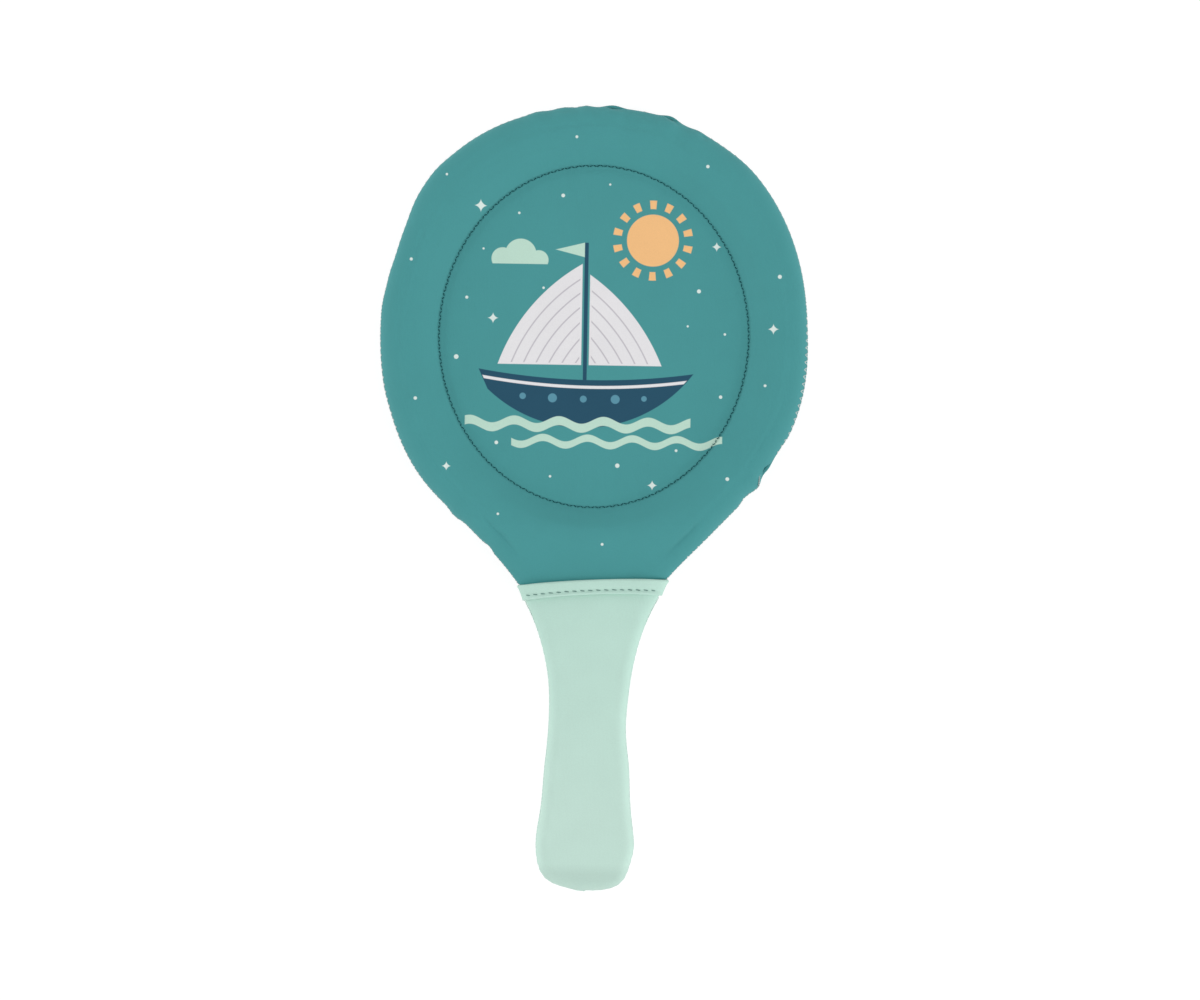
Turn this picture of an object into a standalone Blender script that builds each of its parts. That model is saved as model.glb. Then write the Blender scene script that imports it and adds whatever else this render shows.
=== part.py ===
"""Beach paddle: a moulded hoop frame sewn into a neoprene cover, with a neoprene sleeve on its handle.

The paddle lies on its back. +Y runs from the handle to the top of the blade and +Z is the front. Every
piece is a child of the empty named paddle, whose plane z = 0 is where the front and back panels meet.
"""

import math

import bmesh
import bpy
from mathutils import Matrix, Vector
from mathutils.geometry import interpolate_bezier

MM = 0.001

# Plan of the cover: half widths from the axis, and places along it from the middle of the length
BLADE_TOP = 183.5 * MM
BLADE_HALF_WIDTH = 100.4 * MM
BLADE_WIDEST = 76.0 * MM
FLANK_HALF_WIDTH = 60.6 * MM
FLANK_PLACE = -11.8 * MM
FLANK_LEAN = math.radians(46.4)
WAIST_HALF_WIDTH = 16.8 * MM
WAIST_PLACE = -105.8 * MM
HEEL_HALF_WIDTH = 21.5 * MM
HEEL_PLACE = -163.3 * MM
HANDLE_END = -183.7 * MM

# Small gathers where the cover's edge is drawn in: place along the edge from the top, half length, height
GATHERS = (
    (-16.5 * MM, 6.0 * MM, 0.7 * MM),
    (-5.5 * MM, 5.5 * MM, 0.8 * MM),
    (7.3 * MM, 7.5 * MM, 1.0 * MM),
    (21.3 * MM, 6.5 * MM, 0.9 * MM),
    (35.3 * MM, 7.5 * MM, 1.0 * MM),
    (48.5 * MM, 5.5 * MM, 0.8 * MM),
)
GATHER_REACH = 15.0 * MM

# Oval face seam that holds the two panels together: the pocket between it and the edge holds the hoop
POCKET_WIDTH = 27.7 * MM
SEAM_FOOT = -4.7 * MM
SEAM_GROOVE_HALF = 3.0 * MM
SEAM_FLOOR_HALF = 2.0 * MM
SEAM_PRESS = 0.7 * MM
SEAM_FLOOR_PRESS = 0.5 * MM

# Frame: half thicknesses, how far in its rounded edges reach, and half height of its upright sides
HOOP_HALF = 5.0 * MM
THROAT_HALF = 2.3 * MM
CORE_HALF = 6.6 * MM
FRAME_ROUND = 5.0 * MM
FRAME_SIDE = 1.3 * MM
HOOP_FROM_SEAM = 8.5 * MM
THROAT_RAMP_HIGH = -12.0 * MM
THROAT_RAMP_LOW = -30.0 * MM
CORE_SHOULDER = 3.0 * MM
THROAT_LAND = 2.0 * MM

# Neoprene
COVER_WALL = 2.5 * MM
COVER_END = -57.0 * MM
COVER_GAP = 0.9 * MM
SLEEVE_WALL = 1.1 * MM
SLEEVE_GAP = 0.4 * MM
SLEEVE_GRIP = 0.8 * MM
BUTT_GAP = 0.3 * MM

# Cuff at the upper edge of the sleeve, turned back outwards and sewn down
CUFF_TOP = -38.6 * MM
CUFF_DEPTH = 7.0 * MM
CUFF_SLIT = 0.3 * MM
CUFF_STITCH_ROW = 5.0 * MM
CUFF_GROOVE_HALF = 1.4 * MM
CUFF_PRESS = 0.6 * MM

# Sewing
THREAD = 0.5 * MM
THREAD_LIFT = 0.12 * MM
FACE_STITCH = 1.7 * MM
FACE_ZIGZAG = 1.9 * MM
EDGE_STITCH = 1.72 * MM
EDGE_ZIGZAG = 4.6 * MM
EDGE_LIFT = 0.4 * MM
CUFF_THREAD = 0.4 * MM
CUFF_STITCH = 3.8 * MM
CUFF_STITCH_WAVE = 0.1 * MM

# Spacing of points along the shapes
SPOKE_STEP = 19.0 * MM
GATHER_STEP = 5.7 * MM
NECK_STEP = 13.0 * MM
SLEEVE_STEP = 18.0 * MM
END_STEP = 7.0 * MM
FRAME_STEP = 28.0 * MM
ROUND_STEPS = 2
FOLD_STEPS = 4
LINE_STEPS = 5
CURVE_STEPS = 64

# Measures that follow from those above
SEAM_TOP = BLADE_TOP - POCKET_WIDTH
SEAM_CENTRE = (SEAM_TOP + SEAM_FOOT) / 2
SEAM_HALF_HEIGHT = (SEAM_TOP - SEAM_FOOT) / 2
SEAM_HALF_WIDTH = BLADE_HALF_WIDTH - POCKET_WIDTH
COVER_DEPTH = COVER_WALL + COVER_GAP
THROAT_END = COVER_END - COVER_GAP
CORE_TOP = THROAT_END - CORE_SHOULDER
FOLD_RADIUS = SLEEVE_WALL + CUFF_SLIT / 2
SLEEVE_TOP = CUFF_TOP - FOLD_RADIUS
CUFF_FOOT = CUFF_TOP - CUFF_DEPTH
REST_HEIGHT = THROAT_HALF + COVER_DEPTH + SLEEVE_GAP + 2 * FOLD_RADIUS


def blend(value, start, stop, first, last):
    """Runs from first at start to last at stop, and stays level outside them."""
    share = min(max((value - start) / (stop - start), 0.0), 1.0)
    return first + (last - first) * share


def side_curve():
    """Right side of the cover in plan, as close points from the blade's top to the handle's end."""
    across = Vector((1, 0, 0))
    down = Vector((0, -1, 0))
    flank = Vector((-math.sin(FLANK_LEAN), -math.cos(FLANK_LEAN), 0))
    knots = (
        (Vector((0, BLADE_TOP, 0)), across),
        (Vector((BLADE_HALF_WIDTH, BLADE_WIDEST, 0)), down),
        (Vector((FLANK_HALF_WIDTH, FLANK_PLACE, 0)), flank),
        (Vector((WAIST_HALF_WIDTH, WAIST_PLACE, 0)), down),
        (Vector((HEEL_HALF_WIDTH, HEEL_PLACE, 0)), down),
        (Vector((0, HANDLE_END, 0)), -across),
    )
    # Share of each span that its first and last handle take up
    fullness = ((0.42, 0.45), (0.47, 0.32), (0.47, 0.42), (0.30, 0.32), (0.43, 0.64))
    points = []
    for (start, leaving), (stop, arriving), (first, last) in zip(knots, knots[1:], fullness):
        span = (stop - start).length
        handles = (start + leaving * span * first, stop - arriving * span * last)
        points += interpolate_bezier(start, *handles, stop, CURVE_STEPS)[:-1]
    points.append(knots[-1][0])
    return points


def running_lengths(points):
    """Distance of each point from the first, along the line through them."""
    lengths = [0.0]
    for one, two in zip(points, points[1:]):
        lengths.append(lengths[-1] + (two - one).length)
    return lengths


SIDE = side_curve()
SIDE_LENGTHS = running_lengths(SIDE)


def length_at(place):
    """How far down the side curve, from the top, the paddle reaches this place on its axis."""
    for index in range(len(SIDE) - 1, 0, -1):
        above, below = SIDE[index - 1].y, SIDE[index].y
        if above >= place > below:
            share = (above - place) / (above - below)
            return SIDE_LENGTHS[index - 1] + share * (SIDE_LENGTHS[index] - SIDE_LENGTHS[index - 1])
    return SIDE_LENGTHS[-1]


def along(points, lengths, distance):
    """Point and direction at a distance along a line of points."""
    index = 1
    while index < len(points) - 1 and lengths[index] < distance:
        index += 1
    one, two = points[index - 1], points[index]
    share = (distance - lengths[index - 1]) / (lengths[index] - lengths[index - 1])
    return one.lerp(two, share), (two - one).normalized()


def gather(distance):
    """How far the gathers push the cover's edge out, this far along it from the top."""
    push = 0.0
    for place, reach, height in GATHERS:
        if abs(distance - place) < reach:
            push += height * math.cos((distance - place) / reach * math.pi / 2) ** 2
    return push


def edge_point(station, inset, gathered=0.0):
    """Plan point at a station on the cover's outline, moved inside it by inset.

    A station is a distance along the edge from the top, negative on the left, and whether the point moves
    in level, straight across the paddle, or square to the outline.
    """
    distance, level = station
    point, way = along(SIDE, SIDE_LENGTHS, abs(distance))
    outward = Vector((-way.y, way.x, 0))
    if level:
        point = point - Vector((inset / outward.x, 0, 0))
    else:
        point = point + outward * (gather(distance) * gathered - inset)
    if distance < 0:
        point.x = -point.x
    return point


def evenly(start, stop, step):
    """Values from start to stop in equal steps no longer than step."""
    count = max(1, math.ceil(abs(stop - start) / step - 1e-6))
    return [start + (stop - start) * index / count for index in range(count + 1)]


def edge_stations(distances):
    """Stations whose points move in square to the outline."""
    return [(distance, False) for distance in distances]


def level_stations(places):
    """Stations at places along the axis, whose points move in straight across the paddle."""
    return [(length_at(place), True) for place in places]


def other_side(stations):
    """The same stations on the left, in the opposite order."""
    return [(-distance, level) for distance, level in reversed(stations)]


def blade_stations(step, gathered_step):
    """Stations from the left flank over the top to the right flank, closer together at the gathers."""
    flank = length_at(FLANK_PLACE)
    first = min(place - reach for place, reach, height in GATHERS)
    last = max(place + reach for place, reach, height in GATHERS)
    left = evenly(-flank, first, step)[:-1]
    right = evenly(last, flank, step)[1:]
    return edge_stations(left + evenly(first, last, gathered_step) + right)


def handle_stations(step):
    """Stations down the right side of the handle and round its end, without the middle of the end."""
    end = evenly(length_at(HEEL_PLACE), length_at(HANDLE_END), END_STEP)
    return level_stations(evenly(CORE_TOP, HEEL_PLACE, step)) + edge_stations(end[1:-1])


def throat_half(place):
    """Half thickness of the frame above the core: the hoop, and the throat that is recessed for the cover."""
    return blend(place, THROAT_RAMP_LOW, THROAT_RAMP_HIGH, THROAT_HALF, HOOP_HALF)


def on_core(place):
    """Goes from 0 where the cover ends to 1 where the core has its full depth."""
    return blend(place, CORE_TOP, THROAT_END, 1.0, 0.0)


def frame_section(place):
    """Height of the frame's upright side, height of its face, and how far in its rounding reaches."""
    core = on_core(place)
    return FRAME_SIDE, throat_half(place) * (1 - core) + CORE_HALF * core, FRAME_ROUND


def cover_section(place):
    """The same three measures on the outside of the cover, which lies over the frame."""
    return FRAME_SIDE, throat_half(place) + COVER_DEPTH, FRAME_ROUND + COVER_DEPTH


def sleeve_section(place):
    """The same three measures on the inside of the sleeve, on the cover's end and then on the core."""
    core = blend(place, CORE_TOP, COVER_END, 1.0, 0.0)
    face = (THROAT_HALF + COVER_DEPTH) * (1 - core) + CORE_HALF * core
    reach = FRAME_ROUND + COVER_DEPTH * (1 - core)
    return FRAME_SIDE, face + SLEEVE_GAP, reach + SLEEVE_GAP


def cover_inset(place):
    """The cover's outside is the outline, and is drawn in where the sleeve grips it."""
    return blend(place, SLEEVE_TOP, THROAT_RAMP_LOW, SLEEVE_GRIP, 0.0)


def frame_inset(place):
    """How far the frame lies inside the outline: the cover's depth, and nothing on the core."""
    return (cover_inset(place) + COVER_DEPTH) * (1 - on_core(place))


def sleeve_inset(place):
    """The sleeve's inside lies just outside the outline, and follows the cover under the cuff."""
    return blend(place, COVER_END, CUFF_FOOT, 0.0, cover_inset(place)) - SLEEVE_GAP


def rounding():
    """Share of the reach and share of the rise at each step round an edge."""
    quarter = math.pi / 2
    turns = [quarter * step / ROUND_STEPS for step in range(ROUND_STEPS + 1)]
    return [(1 - math.cos(turn), math.sin(turn)) for turn in turns]


def edge_rings(stations, section, inset, floor, gathered=0.0):
    """Rings from the foot of an upright side, over its rounding, to the rim of the flat face.

    section and inset give the measures at a place along the axis, and floor is the height of the foot.
    """
    rings = [[] for _ in range(ROUND_STEPS + 2)]
    for station in stations:
        place = edge_point(station, 0.0).y
        reach = section(place)[2]
        for ring, (depth, rise) in zip(rings[1:], rounding()):
            fade = gathered * max(0.0, 1 - depth * reach / GATHER_REACH)
            point = edge_point(station, inset(place) + depth * reach, fade)
            side, face, _ = section(point.y)
            point.z = side + (face - side) * rise
            ring.append(point)
        foot = rings[1][-1].copy()
        foot.z = floor
        rings[0].append(foot)
    return rings


def oval(loop, spread, section=None, rise=1.0, height=0.0):
    """Points on the seam's oval, grown by spread, in the directions of the points of a loop.

    Their height is given, or is a share of the rise of a section.
    """
    wide = SEAM_HALF_WIDTH + spread
    high = SEAM_HALF_HEIGHT + spread
    points = []
    for point in loop:
        way = point - Vector((0, SEAM_CENTRE, 0))
        scale = 1 / math.hypot(way.x / wide, way.y / high)
        place = Vector((way.x * scale, SEAM_CENTRE + way.y * scale, height))
        if section:
            side, face, _ = section(place.y)
            place.z = side + (face - side) * rise
        points.append(place)
    return points


def across_line(left, right, steps):
    """Points between two points, without the ends."""
    return [left.lerp(right, step / steps) for step in range(1, steps)]


class Sheet:
    """A surface that is built up ring by ring."""

    def __init__(self):
        self.mesh = bmesh.new()

    def row(self, points):
        return [self.mesh.verts.new(point) for point in points]

    def loft(self, one, two, closed=False):
        """Faces between two rows with as many points each."""
        count = len(one) if closed else len(one) - 1
        for index in range(count):
            after = (index + 1) % len(one)
            self.mesh.faces.new((one[index], two[index], two[after], one[after]))

    def ladder(self, row):
        """Faces across a row that runs down one side, round a middle point and up the other side."""
        middle = len(row) // 2
        for index in range(middle - 1):
            mirror = len(row) - 1 - index
            self.mesh.faces.new((row[mirror], row[mirror - 1], row[index + 1], row[index]))
        self.mesh.faces.new((row[middle + 1], row[middle], row[middle - 1]))

    def fill(self, ring):
        """One flat face inside a ring."""
        self.mesh.faces.new(ring[::-1])

    def finish(self, name, flip=False):
        """Makes the mesh, turned over for a back piece."""
        if flip:
            bmesh.ops.transform(self.mesh, verts=self.mesh.verts, matrix=Matrix.Scale(-1, 4, (0, 0, 1)))
            bmesh.ops.reverse_faces(self.mesh, faces=self.mesh.faces)
        mesh = bpy.data.meshes.new(name)
        self.mesh.to_mesh(mesh)
        self.mesh.free()
        mesh.shade_smooth()
        mesh.set_sharp_from_angle(angle=math.radians(50))
        return mesh


def make_collection(name):
    collection = bpy.data.collections.new(name)
    bpy.context.scene.collection.children.link(collection)
    return collection


def make_material(name, colour, roughness):
    material = bpy.data.materials.new(name)
    material.use_nodes = True
    shader = material.node_tree.nodes["Principled BSDF"]
    shader.inputs["Base Color"].default_value = (*colour, 1)
    shader.inputs["Roughness"].default_value = roughness
    shader.inputs["Metallic"].default_value = 0
    material.diffuse_color = (*colour, 1)
    return material


def add_piece(name, data, material):
    """Puts a piece in the paddle's collection, under its empty."""
    piece = bpy.data.objects.new(name, data)
    data.materials.append(material)
    PIECES.objects.link(piece)
    piece.parent = PADDLE
    return piece


def add_wall(piece, wall, outward, pressed):
    """Gives a surface its wall, thinner at the points that a seam presses in.

    pressed holds pairs of point numbers and how far they are pressed.
    """
    group = piece.vertex_groups.new(name="wall")
    group.add(range(len(piece.data.vertices)), 1.0, "REPLACE")
    for points, press in pressed:
        group.add(points, 1 - press / wall, "REPLACE")
    solidify = piece.modifiers.new("wall", "SOLIDIFY")
    solidify.thickness = wall
    solidify.offset = 1 if outward else -1
    solidify.use_even_offset = True
    solidify.vertex_group = group.name


def add_frame(material):
    """The moulded frame: hoop, recessed throat and handle core in one piece."""
    blade = blade_stations(FRAME_STEP, FRAME_STEP)
    hole_foot = SEAM_CENTRE - SEAM_HALF_HEIGHT - HOOP_FROM_SEAM - FRAME_ROUND
    throat = level_stations([hole_foot - THROAT_LAND])
    neck = evenly(THROAT_RAMP_LOW, SLEEVE_TOP, NECK_STEP) + evenly(SLEEVE_TOP, THROAT_END, NECK_STEP)[1:]
    lower = level_stations(neck) + handle_stations(SLEEVE_STEP)
    upper = other_side(throat) + blade + throat
    stations = other_side(lower) + upper + lower + edge_stations([length_at(HANDLE_END)])
    sheet = Sheet()
    rings = edge_rings(stations, frame_section, frame_inset, 0.0)
    outer = [sheet.row(ring) for ring in rings]
    for one, two in zip(outer, outer[1:]):
        sheet.loft(one, two, closed=True)
    # The face round the hole, closed by a line across the top of the throat
    first = len(lower)
    last = first + len(upper) - 1
    rim = rings[-1]
    line = across_line(rim[last], rim[first], LINE_STEPS)
    throat_row = sheet.row(line)
    loop_points = rim[first:last + 1] + line
    rows = [outer[-1][first:last + 1] + throat_row]
    for depth, rise in reversed(rounding()):
        rows.append(sheet.row(oval(loop_points, HOOP_FROM_SEAM + depth * FRAME_ROUND, frame_section, rise)))
    rows.append(sheet.row(oval(loop_points, HOOP_FROM_SEAM)))
    for one, two in zip(rows, rows[1:]):
        sheet.loft(one, two, closed=True)
    # The face of the throat and handle, from the line down
    lower_rim = outer[-1][last:] + outer[-1][:first + 1]
    sheet.fill([lower_rim[-2], lower_rim[-1]] + throat_row[::-1] + lower_rim[:2])
    sheet.ladder(lower_rim[1:-1])
    frame = add_piece("hoop_frame", sheet.finish("hoop_frame"), material)
    mirror = frame.modifiers.new("back half", "MIRROR")
    mirror.use_axis = (False, False, True)
    mirror.merge_threshold = 0.00001


def add_face_panel(name, material, back=False):
    """One neoprene panel of the cover, from its sewn edge and its end in the sleeve to its flat middle."""
    places = evenly(FLANK_PLACE, SLEEVE_TOP, NECK_STEP)[1:] + evenly(SLEEVE_TOP, COVER_END, NECK_STEP)[1:]
    neck = level_stations(places)
    stations = other_side(neck) + blade_stations(SPOKE_STEP, GATHER_STEP) + neck
    sheet = Sheet()
    rings = edge_rings(stations, cover_section, cover_inset, BUTT_GAP / 2, gathered=1.0)
    edge = [sheet.row(ring) for ring in rings]
    for one, two in zip(edge, edge[1:]):
        sheet.loft(one, two)
    rim = rings[-1]
    line = across_line(rim[-1], rim[0], LINE_STEPS)
    loop_points = rim + line
    flat = COVER_WALL + BUTT_GAP / 2
    crown = oval(loop_points, HOOP_FROM_SEAM + FRAME_ROUND / 2, cover_section)
    middle = [one.lerp(two, 0.5) for one, two in zip(loop_points, crown)]
    for point in middle:
        point.z = cover_section(point.y)[1]
    floor = oval(loop_points, SEAM_FLOOR_HALF, height=flat - SEAM_FLOOR_PRESS)
    seam = oval(loop_points, 0.0, height=flat - SEAM_PRESS)
    inside = oval(loop_points, -SEAM_GROOVE_HALF, height=flat)
    rows = [edge[-1] + sheet.row(line)] + [sheet.row(ring) for ring in (middle, crown, floor, seam, inside)]
    for one, two in zip(rows, rows[1:]):
        sheet.loft(one, two, closed=True)
    sheet.fill(rows[-1])
    sheet.mesh.verts.index_update()
    pressed = [
        ([vert.index for vert in rows[-2]], SEAM_PRESS),
        ([vert.index for vert in rows[-3]], SEAM_FLOOR_PRESS),
    ]
    panel = add_piece(name, sheet.finish(name, flip=back), material)
    add_wall(panel, COVER_WALL, False, pressed)


def sleeve_row(place, lift=0.0, rise=0.0):
    """Points across the sleeve's inside at a place, moved out of the section by lift and up by rise."""
    station = level_stations([place])
    rings = edge_rings(other_side(station) + station, sleeve_section, sleeve_inset, BUTT_GAP / 2)
    row = [ring[1] for ring in rings] + [ring[0] for ring in reversed(rings)]
    points = []
    for index, point in enumerate(row):
        before = row[max(index - 1, 0)]
        after = row[min(index + 1, len(row) - 1)]
        way = (after - before).normalized()
        outward = Vector((way.z, 0, -way.x))
        if min(index, len(row) - 1 - index) < 2:
            outward = Vector((math.copysign(1, point.x), 0, 0))
        points.append(point + outward * lift + Vector((0, rise, 0)))
    return points


def cuff_rows():
    """Rows that turn the sleeve's upper edge outwards and back down over itself."""
    rows = []
    for step in range(1, FOLD_STEPS + 1):
        turn = math.pi * step / FOLD_STEPS
        lift = FOLD_RADIUS * (1 - math.cos(turn))
        rows.append(sleeve_row(SLEEVE_TOP, lift, FOLD_RADIUS * math.sin(turn)))
    for depth, press in (
        (CUFF_STITCH_ROW - CUFF_GROOVE_HALF, 0.0),
        (CUFF_STITCH_ROW, CUFF_PRESS),
        (CUFF_STITCH_ROW + CUFF_GROOVE_HALF, 0.0),
        (CUFF_DEPTH, 0.0),
    ):
        rows.append(sleeve_row(CUFF_TOP - depth, 2 * FOLD_RADIUS - press))
    return rows


def add_sleeve_panel(name, material, back=False):
    """One half of the handle's sleeve: a pocket round the core, with the cuff at its upper edge."""
    right = level_stations([SLEEVE_TOP, CUFF_FOOT, COVER_END]) + handle_stations(SLEEVE_STEP)
    stations = right + edge_stations([length_at(HANDLE_END)]) + other_side(right)
    sheet = Sheet()
    rings = edge_rings(stations, sleeve_section, sleeve_inset, BUTT_GAP / 2)
    rows = [sheet.row(ring) for ring in rings]
    for one, two in zip(rows, rows[1:]):
        sheet.loft(one, two)
    sheet.ladder(rows[-1])
    upper = [row[0] for row in rows] + [row[-1] for row in reversed(rows)]
    cuff = [sheet.row(row) for row in cuff_rows()]
    for one, two in zip([upper] + cuff, cuff):
        sheet.loft(one, two)
    sheet.mesh.verts.index_update()
    pressed = [([vert.index for vert in cuff[-3]], CUFF_PRESS)]
    panel = add_piece(name, sheet.finish(name, flip=back), material)
    add_wall(panel, SLEEVE_WALL, True, pressed)


def thread_section(name, width):
    """Three-sided section that the threads are drawn with."""
    curve = bpy.data.curves.new(name, "CURVE")
    curve.dimensions = "2D"
    spline = curve.splines.new("POLY")
    spline.points.add(2)
    spline.use_cyclic_u = True
    for index, point in enumerate(spline.points):
        turn = math.pi / 2 - math.tau * index / 3
        point.co = (width / 2 * math.cos(turn), width / 2 * math.sin(turn), 0, 1)
    section = bpy.data.objects.new(name, curve)
    GUIDES.objects.link(section)
    section.hide_render = True
    section.display_type = "WIRE"
    return section


def add_thread(name, points, section, material, closed=False, back=False):
    """One sewing thread along its points."""
    curve = bpy.data.curves.new(name, "CURVE")
    curve.dimensions = "3D"
    curve.bevel_mode = "OBJECT"
    curve.bevel_object = section
    curve.use_fill_caps = not closed
    curve.twist_mode = "Z_UP"
    spline = curve.splines.new("POLY")
    spline.points.add(len(points) - 1)
    spline.use_cyclic_u = closed
    for point, place in zip(spline.points, points):
        height = -place.z if back else place.z
        point.co = (place.x, place.y, height, 1)
    return add_piece(name, curve, material)


def face_seam_points():
    """Zigzag along the oval seam, in its groove."""
    turns = [math.tau * step / (4 * CURVE_STEPS) for step in range(4 * CURVE_STEPS + 1)]
    line = [
        Vector((SEAM_HALF_WIDTH * math.sin(turn), SEAM_CENTRE + SEAM_HALF_HEIGHT * math.cos(turn), 0))
        for turn in turns
    ]
    lengths = running_lengths(line)
    count = 2 * round(lengths[-1] / FACE_STITCH / 2)
    height = COVER_WALL + BUTT_GAP / 2 - SEAM_PRESS + 2 * THREAD_LIFT + THREAD
    points = []
    for index in range(count):
        point, way = along(line, lengths, lengths[-1] * index / count)
        outward = Vector((-way.y, way.x, 0))
        swing = FACE_ZIGZAG / 2 if index % 2 else -FACE_ZIGZAG / 2
        points.append(point + outward * swing + Vector((0, 0, height)))
    return points


def edge_seam_points():
    """Zigzag over the butted edges of the two panels, from the cuff round the blade to the cuff."""
    stop = length_at(CUFF_TOP + THREAD)
    count = round(2 * stop / EDGE_STITCH)
    points = []
    for index in range(count + 1):
        station = (-stop + 2 * stop * index / count, False)
        point = edge_point(station, -THREAD / 2 - EDGE_LIFT, 1.0)
        point.z = EDGE_ZIGZAG / 2 if index % 2 else -EDGE_ZIGZAG / 2
        points.append(point)
    return points


def cuff_stitch_points():
    """Running stitch across the cuff's face, in its groove."""
    row = sleeve_row(CUFF_TOP - CUFF_STITCH_ROW, 2 * FOLD_RADIUS - CUFF_PRESS)
    right, left = row[len(row) // 2 - 1], row[len(row) // 2]
    count = 2 * round((right - left).length / CUFF_STITCH)
    points = []
    for index in range(count + 1):
        wave = CUFF_STITCH_WAVE if index % 2 else -CUFF_STITCH_WAVE
        point = left.lerp(right, index / count)
        point.z += CUFF_THREAD / 2 + THREAD_LIFT + wave
        points.append(point)
    return points


for old in list(bpy.data.objects):
    bpy.data.objects.remove(old)

PIECES = make_collection("beach_paddle")
GUIDES = make_collection("guides")
PADDLE = bpy.data.objects.new("paddle", None)
PADDLE.location.z = REST_HEIGHT
PIECES.objects.link(PADDLE)

TEAL = make_material("teal_neoprene", (0.069, 0.296, 0.301), 0.75)
MINT = make_material("mint_neoprene", (0.50, 0.71, 0.62), 0.7)
FRAME_PLASTIC = make_material("grey_plastic", (0.35, 0.36, 0.37), 0.5)
DARK_THREAD = make_material("dark_teal_thread", (0.012, 0.11, 0.12), 0.6)
PALE_THREAD = make_material("pale_thread", (0.72, 0.72, 0.70), 0.6)

add_frame(FRAME_PLASTIC)
add_face_panel("front_face_panel", TEAL)
add_face_panel("back_face_panel", TEAL, back=True)
add_sleeve_panel("sleeve_front_panel", MINT)
add_sleeve_panel("sleeve_back_panel", MINT, back=True)

SEAM_SECTION = thread_section("seam_thread_section", THREAD)
CUFF_SECTION = thread_section("cuff_thread_section", CUFF_THREAD)
add_thread("face_seam_front_thread", face_seam_points(), SEAM_SECTION, DARK_THREAD, closed=True)
add_thread("face_seam_back_thread", face_seam_points(), SEAM_SECTION, DARK_THREAD, closed=True, back=True)
add_thread("edge_seam_thread", edge_seam_points(), SEAM_SECTION, PALE_THREAD)
add_thread("cuff_front_thread", cuff_stitch_points(), CUFF_SECTION, DARK_THREAD)
add_thread("cuff_back_thread", cuff_stitch_points(), CUFF_SECTION, DARK_THREAD, back=True)
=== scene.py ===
import math

import bmesh
import bpy
import numpy as np
from bpy.props import FloatProperty, FloatVectorProperty, PointerProperty
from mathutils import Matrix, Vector
from mathutils.geometry import interpolate_bezier


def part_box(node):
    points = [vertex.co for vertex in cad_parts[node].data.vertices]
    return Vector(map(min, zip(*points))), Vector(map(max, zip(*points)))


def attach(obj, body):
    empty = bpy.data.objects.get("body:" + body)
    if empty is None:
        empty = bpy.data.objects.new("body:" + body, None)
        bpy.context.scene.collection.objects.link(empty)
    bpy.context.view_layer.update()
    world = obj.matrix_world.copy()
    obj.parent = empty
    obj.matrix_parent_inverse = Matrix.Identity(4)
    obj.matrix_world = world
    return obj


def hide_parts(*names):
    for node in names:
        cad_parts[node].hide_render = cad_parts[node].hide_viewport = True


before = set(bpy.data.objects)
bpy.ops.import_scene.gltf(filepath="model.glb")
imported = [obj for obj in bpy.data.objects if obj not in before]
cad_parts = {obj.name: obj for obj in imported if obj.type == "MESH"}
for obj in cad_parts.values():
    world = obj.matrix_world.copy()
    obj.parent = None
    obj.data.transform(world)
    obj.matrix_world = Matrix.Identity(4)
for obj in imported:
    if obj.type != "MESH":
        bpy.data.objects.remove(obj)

bl_info = {
    "name": "Beach paddle",
    "version": (1, 0, 0),
    "blender": (4, 5, 0),
    "location": "View3D > Sidebar > Paddle",
    "description": "Dresses a beach paddle: sewn neoprene cover with a print, handle sleeve and stitching",
    "category": "Object",
}

MM = 0.001
BODY = "root"
REST_HEIGHT = (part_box("front_face_panel")[0].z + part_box("back_face_panel")[1].z) / 2


def length(name, description, default, lowest=0.0):
    return FloatProperty(
        name=name, description=description, default=default * MM, min=lowest * MM, unit="LENGTH", precision=5
    )


def place(name, description, default):
    return FloatProperty(name=name, description=description, default=default * MM, unit="LENGTH", precision=5)


def colour(name, description, default):
    return FloatVectorProperty(
        name=name, description=description, default=default, size=3, min=0.0, max=1.0, subtype="COLOR"
    )


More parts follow.
